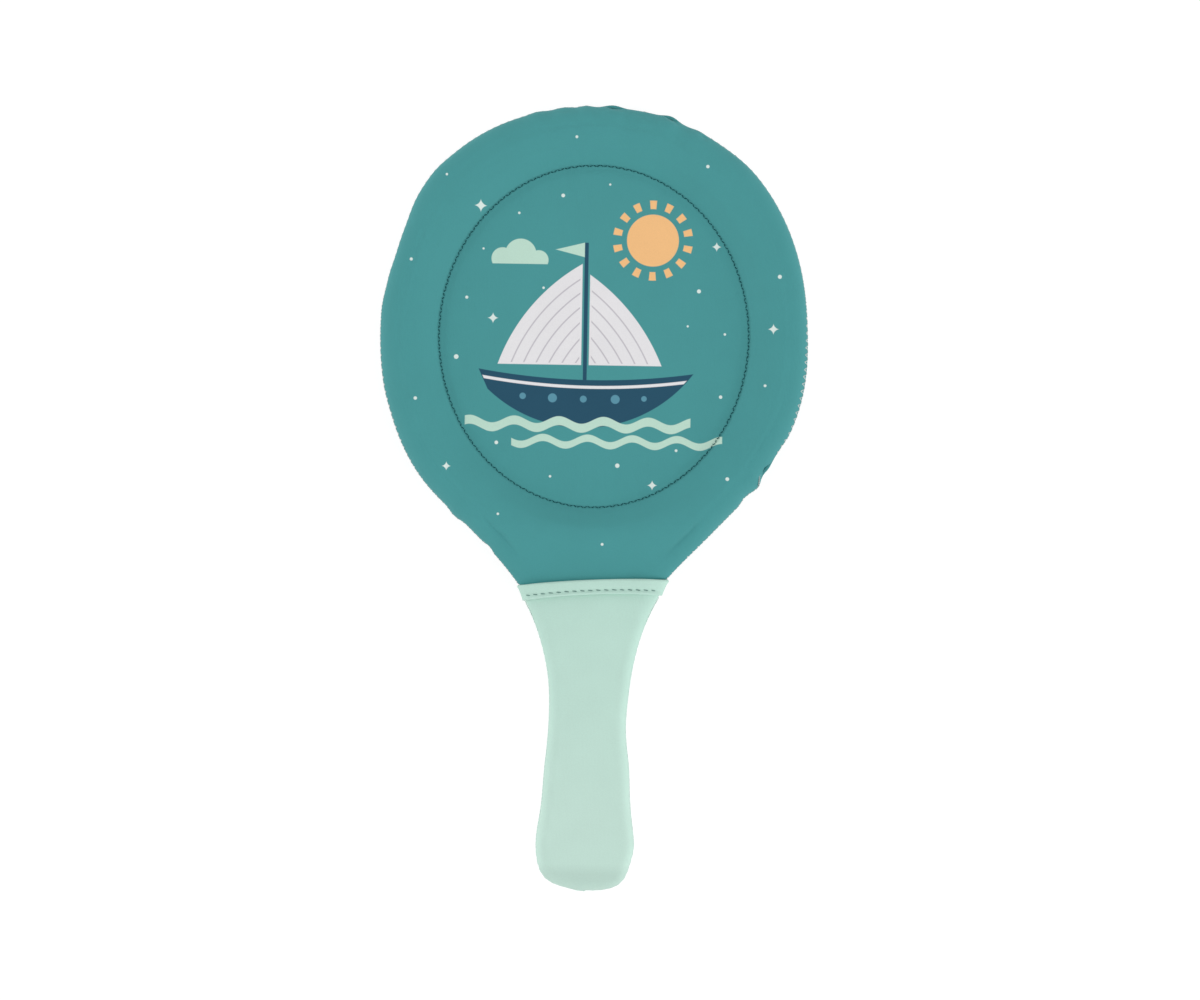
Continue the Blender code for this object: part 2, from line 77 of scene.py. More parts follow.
class PaddleShape(bpy.types.PropertyGroup):
    """Plan and sections of the cover and the sleeve, as the solids have them."""

    blade_top: place("Blade top", "Place of the blade's top along the axis", 183.5)
    blade_half_width: length("Blade half width", "Half the width of the blade", 100.4)
    blade_widest: place("Blade widest", "Place along the axis where the blade is widest", 76.0)
    flank_half_width: length("Flank half width", "Half width where the flank is straight", 60.6)
    flank_place: place("Flank place", "Place along the axis of the straight flank", -11.8)
    flank_lean: FloatProperty(
        name="Flank lean", description="Lean of the flank from the axis", default=math.radians(46.4), unit="ROTATION"
    )
    waist_half_width: length("Waist half width", "Half width of the handle's waist", 16.8)
    waist_place: place("Waist place", "Place along the axis of the waist", -105.8)
    heel_half_width: length("Heel half width", "Half width of the handle's heel", 21.5)
    heel_place: place("Heel place", "Place along the axis of the heel", -163.3)
    handle_end: place("Handle end", "Place along the axis of the handle's end", -183.7)
    side_half: length("Side half", "Half height of the upright side of the rim", 1.3)
    hoop_half: length("Hoop half", "Half thickness of the hoop", 5.0)
    throat_half: length("Throat half", "Half thickness of the recessed throat", 2.3)
    core_half: length("Core half", "Half thickness of the handle's core", 6.6)
    frame_round: length("Frame rounding", "How far in the frame's rounded edges reach", 5.0)
    throat_high: place("Throat ramp high", "Upper end of the throat's ramp", -12.0)
    throat_low: place("Throat ramp low", "Lower end of the throat's ramp", -30.0)
    cover_wall: length("Cover wall", "Thickness of the cover's neoprene", 2.45)
    cover_gap: length("Cover gap", "Slack between cover and frame", 0.95)
    cover_end: place("Cover end", "Where the cover ends inside the sleeve", -57.0)
    camber: length("Camber", "How far the cover bulges over the hoop", 0.35)
    sleeve_wall: length("Sleeve wall", "Thickness of the sleeve's neoprene", 1.1)
    sleeve_gap: length("Sleeve gap", "Slack between sleeve and what it covers", 0.4)
    sleeve_grip: length("Sleeve grip", "How far the cuff squeezes the cover in", 0.9)
    core_top: place("Core top", "Where the handle's core has its full depth", -60.9)
    cuff_top: place("Cuff top", "Upper edge of the sleeve's cuff", -38.6)
    cuff_depth: length("Cuff depth", "How far the cuff is turned down", 7.0)
    cuff_slit: length("Cuff slit", "Gap between the cuff and the sleeve below it", 0.3)
    cuff_tilt: FloatProperty(name="Cuff tilt", description="Rise of the cuff across the handle", default=0.0567)
    cuff_arch: FloatProperty(name="Cuff arch", description="Fall of the cuff's ends, per metre", default=0.97)
    seam_centre: place("Seam centre", "Centre of the oval seam along the axis", 75.55)
    seam_half_width: length("Seam half width", "Half width of the oval seam", 72.7)
    seam_half_height: length("Seam half height", "Half height of the oval seam", 80.25)
    seam_press: length("Seam press", "How far the seam presses the cover in", 0.5)
    crown_from_seam: length("Crown from seam", "From the seam to where the cover reaches its full height", 14.5)
    butt_gap: length("Butt gap", "Gap between the edges that a seam draws together", 0.3)


class PaddleSewing(bpy.types.PropertyGroup):
    """Threads and stitches."""

    thread: length("Thread", "Thickness of the seam threads", 0.38)
    face_thread: length("Face thread", "Thickness of the oval seam's thread", 0.46)
    cuff_thread: length("Cuff thread", "Thickness of the cuff's thread", 0.34)
    twist_pitch: length("Twist pitch", "Length of one turn of the thread's twist", 1.6, 0.1)
    face_stitch: length("Face stitch", "Step of the oval zigzag along its line", 1.7, 0.5)
    face_swing: length("Face swing", "Width of the oval zigzag", 0.84)
    edge_stitch: length("Edge stitch", "Step of the rim's zigzag along its line", 1.72, 0.5)
    edge_swing: length("Edge swing", "Width of the rim's zigzag, over the edge", 5.0)
    side_stitch: length("Side stitch", "Step of the sleeve's zigzag along its line", 1.9, 0.5)
    side_swing: length("Side swing", "Width of the sleeve's zigzag, over the edge", 3.6)
    cuff_stitch: length("Cuff stitch", "Length of one stitch and one gap of the cuff's row", 3.8, 0.5)
    cuff_row: length("Cuff row", "From the cuff's upper edge to its row of stitches", 5.0)


class PaddleColours(bpy.types.PropertyGroup):
    """Colours of the fabrics, threads and inks."""

    cover: colour("Cover", "Teal neoprene", (0.062, 0.294, 0.302))
    sleeve: colour("Sleeve", "Mint neoprene at the cuff", (0.490, 0.715, 0.625))
    sleeve_low: colour("Sleeve low", "Mint neoprene at the heel", (0.535, 0.735, 0.650))
    face_thread: colour("Face thread", "Dark teal thread", (0.002, 0.078, 0.086))
    edge_thread: colour("Edge thread", "Off-white thread", (0.72, 0.74, 0.72))
    # Partly painted shade: the cuff's thread is mint, and this darker grey teal paints the shade it lies in where it
    # sinks into its holes
    cuff_thread: colour("Cuff thread", "Grey teal thread", (0.09, 0.22, 0.20))
    plastic: colour("Plastic", "Moulded frame", (0.35, 0.36, 0.37))
    navy: colour("Navy", "Ink of the hull and mast", (0.015, 0.075, 0.128))
    sky: colour("Sky blue", "Ink of the portholes", (0.097, 0.281, 0.374))
    sail: colour("Sail", "Ink of the sails", (0.78, 0.77, 0.79))
    pinstripe: colour("Pinstripe", "Ink of the sails' stripes", (0.53, 0.51, 0.55))
    mint: colour("Mint", "Ink of the waves and pennant", (0.505, 0.715, 0.605))
    peach: colour("Peach", "Ink of the sun", (0.891, 0.516, 0.227))
    dot: colour("Dots", "Ink of the small dots and glints", (0.70, 0.80, 0.76))


class PaddleStage(bpy.types.PropertyGroup):
    """Camera and light."""

    lens: FloatProperty(name="Lens", description="Focal length in millimetres", default=85.0, min=10.0)
    picture_width: length("Picture width", "Width of the picture at the paddle's middle plane", 564.8, 10.0)
    aim_across: place("Aim across", "Place across the axis at the picture's middle", 4.15)
    aim_along: place("Aim along", "Place along the axis at the picture's middle", -1.2)
    roll: FloatProperty(
        name="Roll", description="Turn of the camera about its view", default=math.radians(0.955), unit="ROTATION"
    )
    sky_light: FloatProperty(name="Sky light", description="Strength of the even light", default=0.625, min=0.0)
    key_light: FloatProperty(name="Key light", description="Strength of the main lamp", default=1.45, min=0.0)
    fill_light: FloatProperty(name="Fill light", description="Strength of the second lamp", default=1.15, min=0.0)
    back_light: FloatProperty(name="Back light", description="Strength of the third lamp", default=0.45, min=0.0)
    lamp_spread: FloatProperty(
        name="Lamp spread", description="Width of each lamp, as an angle", default=math.radians(40), unit="ROTATION"
    )
    floor_size: length("Floor size", "Length of the floor's side", 6000.0, 500.0)


class PaddleSettings(bpy.types.PropertyGroup):
    """Everything that a user would change."""

    shape: PointerProperty(type=PaddleShape)
    sewing: PointerProperty(type=PaddleSewing)
    colours: PointerProperty(type=PaddleColours)
    stage: PointerProperty(type=PaddleStage)


# Lobes of the cover's edge: place along it from the top (negative on the left), half length, height
GATHERS = (
    (-29, 7, 0.5), (-16, 7, 0.5), (-5.5, 5.5, 0.6), (7.3, 7.5, 1.1), (34.6, 6.8, 1.1), (48.5, 5.6, 0.3),
)
# Slower wandering of that edge, in the same form
WANDER = (
    (-118, 24, -1.9), (-128, 12, -0.5), (-139, 18, -1.2), (-84, 14, 0.5), (-205, 14, -0.3), (-240, 28, 0.8),
    (-262, 7, 0.9), (-284, 5, -0.7), (44, 9, -0.6), (60, 24, -0.7), (100, 40, -0.2), (189, 34, 0.7), (224, 14, -1.1),
    (235, 5, -0.8), (241, 4.5, 0.7), (249, 6, -0.8), (280, 26, 0.7),
)
# Folds tucked in under the rim: place along it, half length, distance in from it, half width, depth
TUCKS = (
    (8.5, 4.2, 1.7, 0.8, 1.5), (36.5, 4.0, 1.9, 0.75, 1.3), (-16, 4.5, 2.2, 0.9, 0.5), (53, 3.0, 1.8, 0.7, 0.7),
    (21, 3.5, 2.6, 1.0, 0.5),
)
# How far the joint of the two cover panels has rolled towards the front: place, half length, shift
ROLL = (
    (186, 62, 3.6), (262, 50, 1.0), (-196, 85, 1.9), (-22, 18, -1.0),
)
# Folds where the joint is tucked in over the front, and the thread sinks into it: place, half length, shift
TUCKED = (
    (7.5, 13, 5.3), (35, 12, 5.3), (49.5, 6, 3.2), (232, 9, 4.0),
)
# Where that joint stands open: place, half length, opening
GAPE = (
    (7.5, 5.2, 2.6), (35, 4.8, 2.4), (49.5, 2.8, 1.4), (232, 4.5, 3.0), (-226, 4, 0.4),
)
# Wandering of the sleeve's edge, in the same form
SLEEVE_WANDER = (
    (334, 44, 1.2), (-330, 30, 0.3), (-358, 26, -0.5), (378, 20, -0.4), (415, 24, -1.2), (-414, 22, -0.8),
    (-428, 16, 0.4), (442, 12, -1.3), (-455, 12, -0.8), (471, 22, -0.5), (-471, 22, -0.5), (-466, 8, 0.4),
)


def lobes(table, distance):
    """Sum of smooth lobes at distances along an edge."""
    total = np.zeros_like(distance, dtype=float)
    for middle, reach, height in table:
        share = np.clip(np.abs(distance - middle * MM) / (reach * MM), 0, 1)
        total += height * MM * np.cos(share * math.pi / 2) ** 2
    return total


def ease(value, start, stop):
    """Goes smoothly from 0 at start to 1 at stop."""
    share = np.clip((value - start) / (stop - start), 0, 1)
    return share * share * (3 - 2 * share)


def ripple(angle, fewest, most, seed):
    """Closed random ripple round a turn, about 1 high, of waves that go into the turn fewest to most times."""
    random = np.random.default_rng(seed)
    total = np.zeros_like(angle)
    for count in range(fewest, most + 1):
        total += random.normal() * np.cos(count * angle + random.uniform(0, math.tau))
    return total / math.sqrt(most - fewest + 1)


def running(points):
    """Distances along a line of points."""
    return np.concatenate(([0.0], np.cumsum(np.linalg.norm(np.diff(points, axis=0), axis=1))))


def sample(at, run, points):
    """Points of a line at distances along it."""
    return np.stack([np.interp(at, run, column) for column in points.T], axis=-1)


def unit(ways):
    """The same directions, each 1 long."""
    return ways / np.linalg.norm(ways, axis=-1, keepdims=True)


def between(values, steps):
    """Values in equal steps from each one to the next."""
    share = (np.arange(steps) / steps).reshape((-1,) + (1,) * (values.ndim - 1))
    return (values[:-1, None] * (1 - share) + values[1:, None] * share).reshape((-1,) + values.shape[1:])


def thread_lift(steps, over, dip, power, arch=0.0):
    """Height of a thread over the surface along one stitch, in equal steps: it dips at the holes."""
    rise = np.sin(math.pi * np.arange(steps) / steps)
    return over + arch * rise - dip * (1 - rise) ** power


def by_turns(count):
    """Half a zigzag's width to one side and the other by turns."""
    return np.where(np.arange(count) % 2, 0.5, -0.5)


def square_off(row):
    """Directions square off a row of points across the paddle."""
    way = np.gradient(row, axis=0)
    return np.column_stack((way[:, 2], np.zeros(len(row)), -way[:, 0]))


class Edge:
    """The cover's edge in plan, by distance from the top, negative on the left."""

    steps = 96
    # How far each stretch keeps its first and last direction, as shares of the straight way
    fullness = ((0.42, 0.45), (0.47, 0.32), (0.47, 0.42), (0.30, 0.32), (0.43, 0.64))

    def __init__(self, shape):
        across = Vector((1, 0, 0))
        down = Vector((0, -1, 0))
        flank = Vector((-math.sin(shape.flank_lean), -math.cos(shape.flank_lean), 0))
        knots = (
            (Vector((0, shape.blade_top, 0)), across),
            (Vector((shape.blade_half_width, shape.blade_widest, 0)), down),
            (Vector((shape.flank_half_width, shape.flank_place, 0)), flank),
            (Vector((shape.waist_half_width, shape.waist_place, 0)), down),
            (Vector((shape.heel_half_width, shape.heel_place, 0)), down),
            (Vector((0, shape.handle_end, 0)), -across),
        )
        points = []
        for (start, leaving), (stop, arriving), (first, last) in zip(knots, knots[1:], self.fullness):
            span = (stop - start).length
            handles = (start + leaving * span * first, stop - arriving * span * last)
            points += interpolate_bezier(start, *handles, stop, self.steps)[:-1]
        points.append(knots[-1][0])
        self.points = np.array(points)[:, :2]
        self.lengths = running(self.points)
        ways = unit(np.gradient(self.points, self.lengths, axis=0))
        self.outward = np.stack((-ways[:, 1], ways[:, 0]), axis=1)

    def at(self, distance):
        """Points and outward directions in plan at distances along the edge."""
        mirror = np.stack((np.where(distance < 0, -1.0, 1.0), np.ones(len(distance))), axis=-1)
        return tuple(sample(np.abs(distance), self.lengths, line) * mirror for line in (self.points, self.outward))

    def distance_at(self, along):
        """Distance down the right side to a place along the axis."""
        return float(np.interp(-along, -self.points[:, 1], self.lengths))


def round_edge(side, face, reach, climb):
    """Inset and height at distances up a rounded edge from its middle line, or the whole climb for None."""
    turn = np.linspace(0, math.pi / 2, 40)
    inset = np.concatenate(([0.0], reach * (1 - np.cos(turn))))
    height = np.concatenate(([0.0], side + (face - side) * np.sin(turn)))
    run = running(np.column_stack((inset, height)))
    if climb is None:
        return run[-1]
    up = np.abs(climb)
    return np.interp(up, run, inset), np.sign(climb) * np.interp(up, run, height)


def cuff_drop(shape, across):
    """How far the cuff sits above its place on the axis, as the sleeve was pulled on."""
    return shape.cuff_tilt * across - shape.cuff_arch * across ** 2


def squeeze(shape, along):
    """How far the cuff squeezes the cover in, at places along the axis with the cuff's own slant taken off."""
    return shape.sleeve_grip * (1 - ease(along, shape.cuff_top - 2.2 * MM, shape.cuff_top + 1.2 * MM))


class Cover:
    """Surface of one panel of the cover: the front, or the back turned over."""

    rim_rows = 16
    top_rows = 10
    # Rings inside the crown, by their distance out from the seam's line
    rings = (
        *np.arange(10.0, 3.0, -1.0), 3.0, 2.4, 1.8, 1.2, 0.6, 0.0, -0.6, -1.2, -1.8, -2.4, -3.2, -4.4,
        -6.5, -10.0, -16.0, -26.0, -40.0, -56.0, -68.0,
    )
    # Where the edge is gathered, from left to right, and the step between points there and elsewhere
    gathered = (-52 * MM, 76 * MM)
    gathered_step = 1.0 * MM
    plain_step = 1.7 * MM
    # How far the seam's groove reaches in and out
    groove_inside = 4.6 * MM
    groove_outside = 3.2 * MM
    # Height of the small ripples at the seam, of the slow waves over the hoop, and of a gather between creases
    ripple_height = 0.11 * MM
    wave_height = 0.12 * MM
    gather_middle = 0.6 * MM
    # Where the creases between the gathers begin and end along the edge, and their depth against the gathers'
    creases_begin = (-56 * MM, -40 * MM)
    creases_end = (62 * MM, 78 * MM)
    crease_share = 0.9
    # What the flat cut adds all round, and how much of the cuff's squeeze goes into the neoprene
    allowance = 3 * MM
    squeezed_share = 0.4

    def __init__(self, shape, front):
        self.shape = shape
        self.turn = 1 if front else -1
        self.seed = 5 if front else 17
        self.edge = Edge(shape)
        self.stop = self.edge.distance_at(shape.cover_end)
        self.reach = shape.frame_round + shape.cover_wall + shape.cover_gap
        self.flat = shape.cover_wall + shape.butt_gap / 2
        self.centre = np.array([0.0, shape.seam_centre])

    def face(self, along):
        """Height of the cover's face over the frame at places along the axis."""
        shape = self.shape
        depth = shape.hoop_half - shape.throat_half
        half = shape.throat_half + depth * ease(along, shape.throat_low, shape.throat_high)
        return half + shape.cover_wall + shape.cover_gap

    def rounded(self, along, climb):
        """Inset and height up the rounded edge at a place along the axis, or the whole climb for None."""
        return round_edge(self.shape.side_half, float(self.face(along)), self.reach, climb)

    def rim(self, distance):
        """Plan points and outward directions of the drawn edge."""
        point, outward = self.edge.at(distance)
        level = point[:, 1] - cuff_drop(self.shape, point[:, 0])
        push = lobes(GATHERS, distance) + lobes(WANDER, distance) - squeeze(self.shape, level)
        return point + outward * push[:, None], outward

    def joint(self, distance):
        """How far up this panel's side of the edge the joint of the two panels lies."""
        return self.turn * (lobes(ROLL, distance) + lobes(TUCKED, distance))

    def climb(self, distance, up):
        """Points and outward directions on the rounded edge, at distances up from its middle line."""
        spots, ways = [], []
        small = 0.05 * MM
        for plan, way, rise in zip(*self.rim(distance), up):
            inset, height = self.rounded(plan[1], np.array([rise, rise + small]))
            spots.append((*(plan - way * inset[0]), height[0]))
            ways.append((*(way * (height[1] - height[0])), inset[1] - inset[0]))
        return np.array(spots), unit(np.array(ways))

    def stations(self):
        """Distances along the edge, closer together where it is gathered."""
        left, right = self.gathered
        parts = [
            np.linspace(start, stop, round((stop - start) / step))[:-1]
            for start, stop, step in (
                (-self.stop, left, self.plain_step),
                (left, right, self.gathered_step),
                (right, self.stop, self.plain_step),
            )
        ]
        return np.concatenate((*parts, [self.stop]))

    def height(self, plan, spread, share):
        """Height of the panel between its rounded edge and its middle.

        spread is the distance out from the seam's line, and share runs from 0 at the rounded edge to 1
        where the cover comes down to the seam.
        """
        shape = self.shape
        top = self.face(plan[:, 1]) + shape.camber * math.sin(math.pi * share) ** 2
        climb = np.sin(math.pi / 2 * np.clip((spread - 0.6 * MM) / shape.crown_from_seam, 0, 1)) ** 1.25
        width = np.where(spread < 0, self.groove_inside, self.groove_outside)
        groove = shape.seam_press * (1 - ease(np.abs(spread) / width, 0.12, 1.0))
        return self.flat - groove + (top - self.flat) * climb

    def make(self):
        """Rows from the joint over the edge, the same cut flat, the hidden end's line, and rings to the middle."""
        distance = self.stations()
        point, outward = self.rim(distance)
        start = self.joint(distance) + self.shape.butt_gap / 2 + lobes(GAPE, distance) / 2
        rows, cut = np.zeros((2, self.rim_rows, len(distance), 3))
        for index, (plan, way) in enumerate(zip(point, outward)):
            whole = self.rounded(plan[1], None)
            up = start[index] + (whole - start[index]) * np.linspace(0, 1, self.rim_rows)
            inset, height = self.rounded(plan[1], up)
            rows[:, index, :2] = plan - way * inset[:, None]
            rows[:, index, 2] = height
            cut[:, index, :2] = rows[-1, index, :2] + way * (whole - up)[:, None]
        # The loop round the blade is closed across the end that the sleeve hides
        line = np.linspace(rows[-1, -1], rows[-1, 0], 32)[1:-1]
        plan = np.concatenate((rows[-1], line))[:, :2]
        crown = self.oval(plan, self.shape.crown_from_seam)
        inner = []
        for share in np.linspace(0, 1, self.top_rows + 1)[1:]:
            flat = plan + (crown - plan) * share
            inner.append(self.raised(flat, self.spread(flat), share))
        for spread in self.rings:
            inner.append(self.raised(self.oval(plan, spread * MM), np.full(len(plan), spread * MM), 1.0))
        self.draw_in(rows, inner[:self.top_rows], distance, point, outward)
        return rows, cut, line, inner

    def raised(self, flat, spread, share):
        """Plan points at the panel's height, with its unevenness."""
        return np.column_stack((flat, self.height(flat, spread, share) + self.unevenness(flat, spread)))

    def scale(self, way, spread=0.0):
        """What takes ways from the seam's centre to its oval, grown by spread."""
        shape = self.shape
        return 1 / np.hypot(way[:, 0] / (shape.seam_half_width + spread), way[:, 1] / (shape.seam_half_height + spread))

    def oval(self, plan, spread):
        """Points on the seam's oval, grown by spread, in the directions of plan points."""
        way = plan - self.centre
        return self.centre + way * self.scale(way, spread)[:, None]

    def spread(self, plan):
        """Distance of plan points out from the seam's line, near enough."""
        way = plan - self.centre
        return np.hypot(*way.T) * (1 - self.scale(way))

    def unevenness(self, plan, spread):
        """Small ripples where the seam draws the neoprene in, and slow waves over the hoop."""
        way = plan - self.centre
        angle = np.arctan2(way[:, 1] / self.shape.seam_half_height, way[:, 0] / self.shape.seam_half_width)
        fine = ripple(angle, 60, 120, self.seed)
        slow = ripple(angle, 5, 16, self.seed + 1)
        near = np.exp(-np.abs(spread) / (4.0 * MM)) * (1 - np.exp(-np.abs(spread) / (0.8 * MM)))
        over = ease(spread, 2 * MM, 14 * MM) * (1 - ease(-plan[:, 1], 10 * MM, 40 * MM))
        return fine * near * self.ripple_height + slow * over * self.wave_height

    def draw_in(self, rows, rings, distance, point, outward):
        """Shallow creases that run in from between the gathers and fade out over the hoop, and the tucked folds."""
        gathered = ease(distance, *self.creases_begin) * (1 - ease(distance, *self.creases_end))
        crease = (lobes(GATHERS, distance) - self.gather_middle) * self.crease_share * gathered
        shares = list(np.sin(0.75 * math.pi * np.linspace(0, 1, len(rows))))
        shares += list(shares[-1] * (1 - np.arange(1, len(rings) + 1) / len(rings)) ** 1.5)
        for row, share in zip([*rows, *(ring[:len(distance)] for ring in rings)], shares):
            row[:, 2] += crease * share
            inset = np.einsum("ij,ij->i", point - row[:, :2], outward)
            for middle, reach, depth_in, half, depth in TUCKS:
                across = (inset - depth_in * MM) / (half * MM)
                beside = (distance - middle * MM) / (reach * MM)
                row[:, 2] -= depth * MM * np.exp(-across ** 2) * np.clip(1 - beside ** 2, 0, 1) ** 1.5


class Sheet:
    """A surface built up row by row, with the place of each point in the flat cut."""

    def __init__(self):
        self.mesh = bmesh.new()
        self.cut = self.mesh.verts.layers.float_vector.new("cut")
        self.wall = self.mesh.verts.layers.deform.new()

    def row(self, points, cut=None, wall=None):
        flat = points if cut is None else cut
        verts = []
        for index, (point, spot) in enumerate(zip(points, flat)):
            vert = self.mesh.verts.new(point)
            vert[self.cut] = Vector((spot[0], spot[1], 0.0))
            vert[self.wall][0] = 1.0 if wall is None else float(wall[index])
            verts.append(vert)
        return verts

    def loft(self, one, two, closed=False):
        count = len(one) if closed else len(one) - 1
        for index in range(count):
            after = (index + 1) % len(one)
            self.mesh.faces.new((one[index], two[index], two[after], one[after]))

    def hub(self, ring, point):
        """Faces from a ring to a point in its middle."""
        middle = self.row([point])[0]
        for index, vert in enumerate(ring):
            self.mesh.faces.new((vert, middle, ring[(index + 1) % len(ring)]))

    def finish(self, name, turned_over=False, lift=0.0):
        for vert in self.mesh.verts:
            if turned_over:
                # The back is pressed flat where it lies on the floor
                vert.co.z = -min(vert.co.z, lift)
            vert.co.z += lift
        if turned_over:
            bmesh.ops.reverse_faces(self.mesh, faces=self.mesh.faces)
        mesh = bpy.data.meshes.new(name)
        self.mesh.to_mesh(mesh)
        self.mesh.free()
        mesh.shade_smooth()
        return mesh


def link(name, data):
    """Puts an object in the scene."""
    item = bpy.data.objects.new(name, data)
    bpy.context.scene.collection.objects.link(item)
    return item


def settle(name, mesh, material, nodes):
    """Puts a piece in the scene: on its body, with its finish, in place of the solids it stands for."""
    mesh.materials.append(material)
    piece = link(name, mesh)
    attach(piece, BODY)
    if nodes:
        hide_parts(*nodes)
    return piece


def put_on(sheet, front, kind, node, material, wall, outward):
    """Puts a panel in the scene with its wall, thinner where its points say so, stretched over the frame."""
    name = f"{'front' if front else 'back'}_{kind}"
    mesh = sheet.finish(name, turned_over=not front, lift=REST_HEIGHT)
    piece = settle(name, mesh, material, [node])
    piece.vertex_groups.new(name="wall")
    solidify = piece.modifiers.new("wall", "SOLIDIFY")
    solidify.thickness = wall
    solidify.offset = 1 if outward else -1
    solidify.vertex_group = "wall"


def make_cover(shape, front, material):
    """One panel of the cover."""
    cover = Cover(shape, front)
    rows, cut, line, inner = cover.make()
    sheet = Sheet()
    plan, _ = cover.edge.at(cover.stations())
    level = plan[:, 1] - cuff_drop(shape, plan[:, 0])
    pressed = cover.squeezed_share * squeeze(shape, level) / shape.sleeve_grip
    edge = [sheet.row(points, flat, 1 - pressed) for points, flat in zip(rows, cut)]
    rings = [edge[-1] + sheet.row(line)]
    for points in inner:
        pressed = np.clip(cover.flat - points[:, 2], 0, shape.seam_press + 0.3 * MM) / shape.cover_wall
        rings.append(sheet.row(points, wall=1 - pressed))
    for one, two in zip(edge, edge[1:]):
        sheet.loft(one, two)
    for one, two in zip(rings, rings[1:]):
        sheet.loft(one, two, closed=True)
    sheet.hub(rings[-1], (*cover.centre, cover.flat))
    side = "front" if front else "back"
    slot, node = f"{side}_cover_fabric", f"{side}_face_panel"
    put_on(sheet, front, "cover", node, material, shape.cover_wall, False)


class Sleeve:
    """Surface of one half of the handle's sleeve, inside out at its cuff."""

    rim_rows = 12
    half_columns = 12
    fold_rows = 10
    body_steps = 84
    end_steps = 24
    stitch_press = 0.5 * MM
    hem_swell = 0.4 * MM
    # Share of the wall and the fold that the seam leaves at the joint
    drawn_thin = 0.8
    # How much less far in the sleeve's rounding reaches over the core
    core_round = 1.2 * MM
    # Width of the flat cut, and what it adds to the worn length with its cuff
    cut_width = 92 * MM
    allowance = 8 * MM

    def __init__(self, shape):
        self.shape = shape
        self.edge = Edge(shape)
        self.fold = shape.sleeve_wall + shape.cuff_slit / 2
        self.top = shape.cuff_top - self.fold
        rim = self.drawn_thin + (1 - self.drawn_thin) * ease(np.linspace(0, 1, self.rim_rows), 0.25, 1.0)
        self.thinned = np.concatenate((rim, np.ones(2 * self.half_columns - 1), rim[::-1]))

    def section(self, along):
        """Side, face and reach of the sleeve's inside at a place along the axis."""
        shape = self.shape
        core = 1 - float(ease(along, shape.core_top - 4 * MM, shape.cuff_top - shape.cuff_depth))
        depth = shape.cover_wall + shape.cover_gap
        face = (shape.throat_half + depth) * (1 - core) + shape.core_half * core
        reach = shape.frame_round + depth * (1 - core)
        return shape.side_half, face + shape.sleeve_gap, reach + shape.sleeve_gap - self.core_round * core

    def near_cuff(self, along):
        """1 at the cuff, fading to 0 down the handle."""
        return float(ease(along, self.shape.cuff_top - 32 * MM, self.shape.cuff_top - 8 * MM))

    def rim(self, distance, lift=0.0, up=None, along=None):
        """Points up the rounded edge on one side, from the joint to the face, or at distances up from the joint.

        lift moves them out of the surface, and along is their place before the cuff was pulled askew.
        """
        shape = self.shape
        point, outward = self.edge.at(np.array([distance]))
        point, outward = point[0], outward[0]
        if along is None:
            along = point[1] - cuff_drop(shape, point[0]) * self.near_cuff(point[1])
        side, face, reach = self.section(along)
        push = lobes(SLEEVE_WANDER, np.array([distance]))[0] + shape.sleeve_gap + lift
        push -= squeeze(shape, along) * float(ease(along, self.top - 9 * MM, self.top))
        face, reach = face + lift, reach + lift
        if up is None:
            up = np.linspace(shape.butt_gap / 2, round_edge(side, face, reach, None), self.rim_rows)
        inset, height = round_edge(side, face, reach, up)
        inset = inset - push
        if point[1] > shape.heel_place:
            across = point[0] - inset / outward[0]
            flat = np.column_stack((across, np.full(len(across), point[1])))
        else:
            flat = point - outward * inset[:, None]
        return np.column_stack((flat, height))

    def side_distance(self, along, side):
        """Distance along the edge, on one side, to where the row that lies at a place on the axis ends."""
        width = self.edge.at(np.array([self.edge.distance_at(along)]))[0][0, 0] * side
        return side * self.edge.distance_at(along + cuff_drop(self.shape, width) * self.near_cuff(along))

    def row(self, along):
        """Points across the sleeve from the right joint over the face to the left joint."""
        right = self.rim(self.side_distance(along, 1), along=along)
        left = self.rim(self.side_distance(along, -1), along=along)[::-1]
        over = np.linspace(right[-1], left[0], 2 * self.half_columns + 1)[1:-1]
        row = np.concatenate((right, over, left))
        row[:, 1] = along + cuff_drop(self.shape, row[:, 0]) * self.near_cuff(along)
        return row

    def girth(self, row):
        """The row cut flat: its length round the sleeve, and its place along the axis."""
        run = running(row)
        return np.column_stack((run[-1] / 2 - run, row[:, 1]))

    def lifted(self, along, lift, rise):
        """A row moved square off the surface by lift, and along the axis by rise."""
        row = self.row(along)
        outward = square_off(row)
        outward[:3] = (1, 0, 0)
        outward[-3:] = (-1, 0, 0)
        return row + (unit(outward) * lift + (0, rise, 0)) * self.thinned[:, None]

    def cuff_rows(self):
        """Rows that turn the upper edge outwards and back down."""
        shape = self.shape
        rows = []
        for step in range(1, self.fold_rows + 1):
            turn = math.pi * step / self.fold_rows
            rows.append(self.lifted(self.top, self.fold * (1 - math.cos(turn)), self.fold * math.sin(turn)))
        depths = np.concatenate((np.linspace(self.fold, shape.cuff_depth - 0.5 * MM, 20)[1:], [shape.cuff_depth]))
        return rows + [self.turned(depth) for depth in depths]

    def turned(self, depth):
        """Row on the turned-down part of the cuff, at a depth below its upper edge."""
        shape = self.shape
        sewing = bpy.context.scene.beach_paddle.sewing
        row = self.lifted(shape.cuff_top - depth, 2 * self.fold, 0.0)
        half = np.abs(row[:, 0]).max()
        sag = (1.1 - 0.2 * row[:, 0] / half) * np.abs(row[:, 0] / half) ** 3 * MM
        row[:, 1] -= sag * depth / shape.cuff_depth
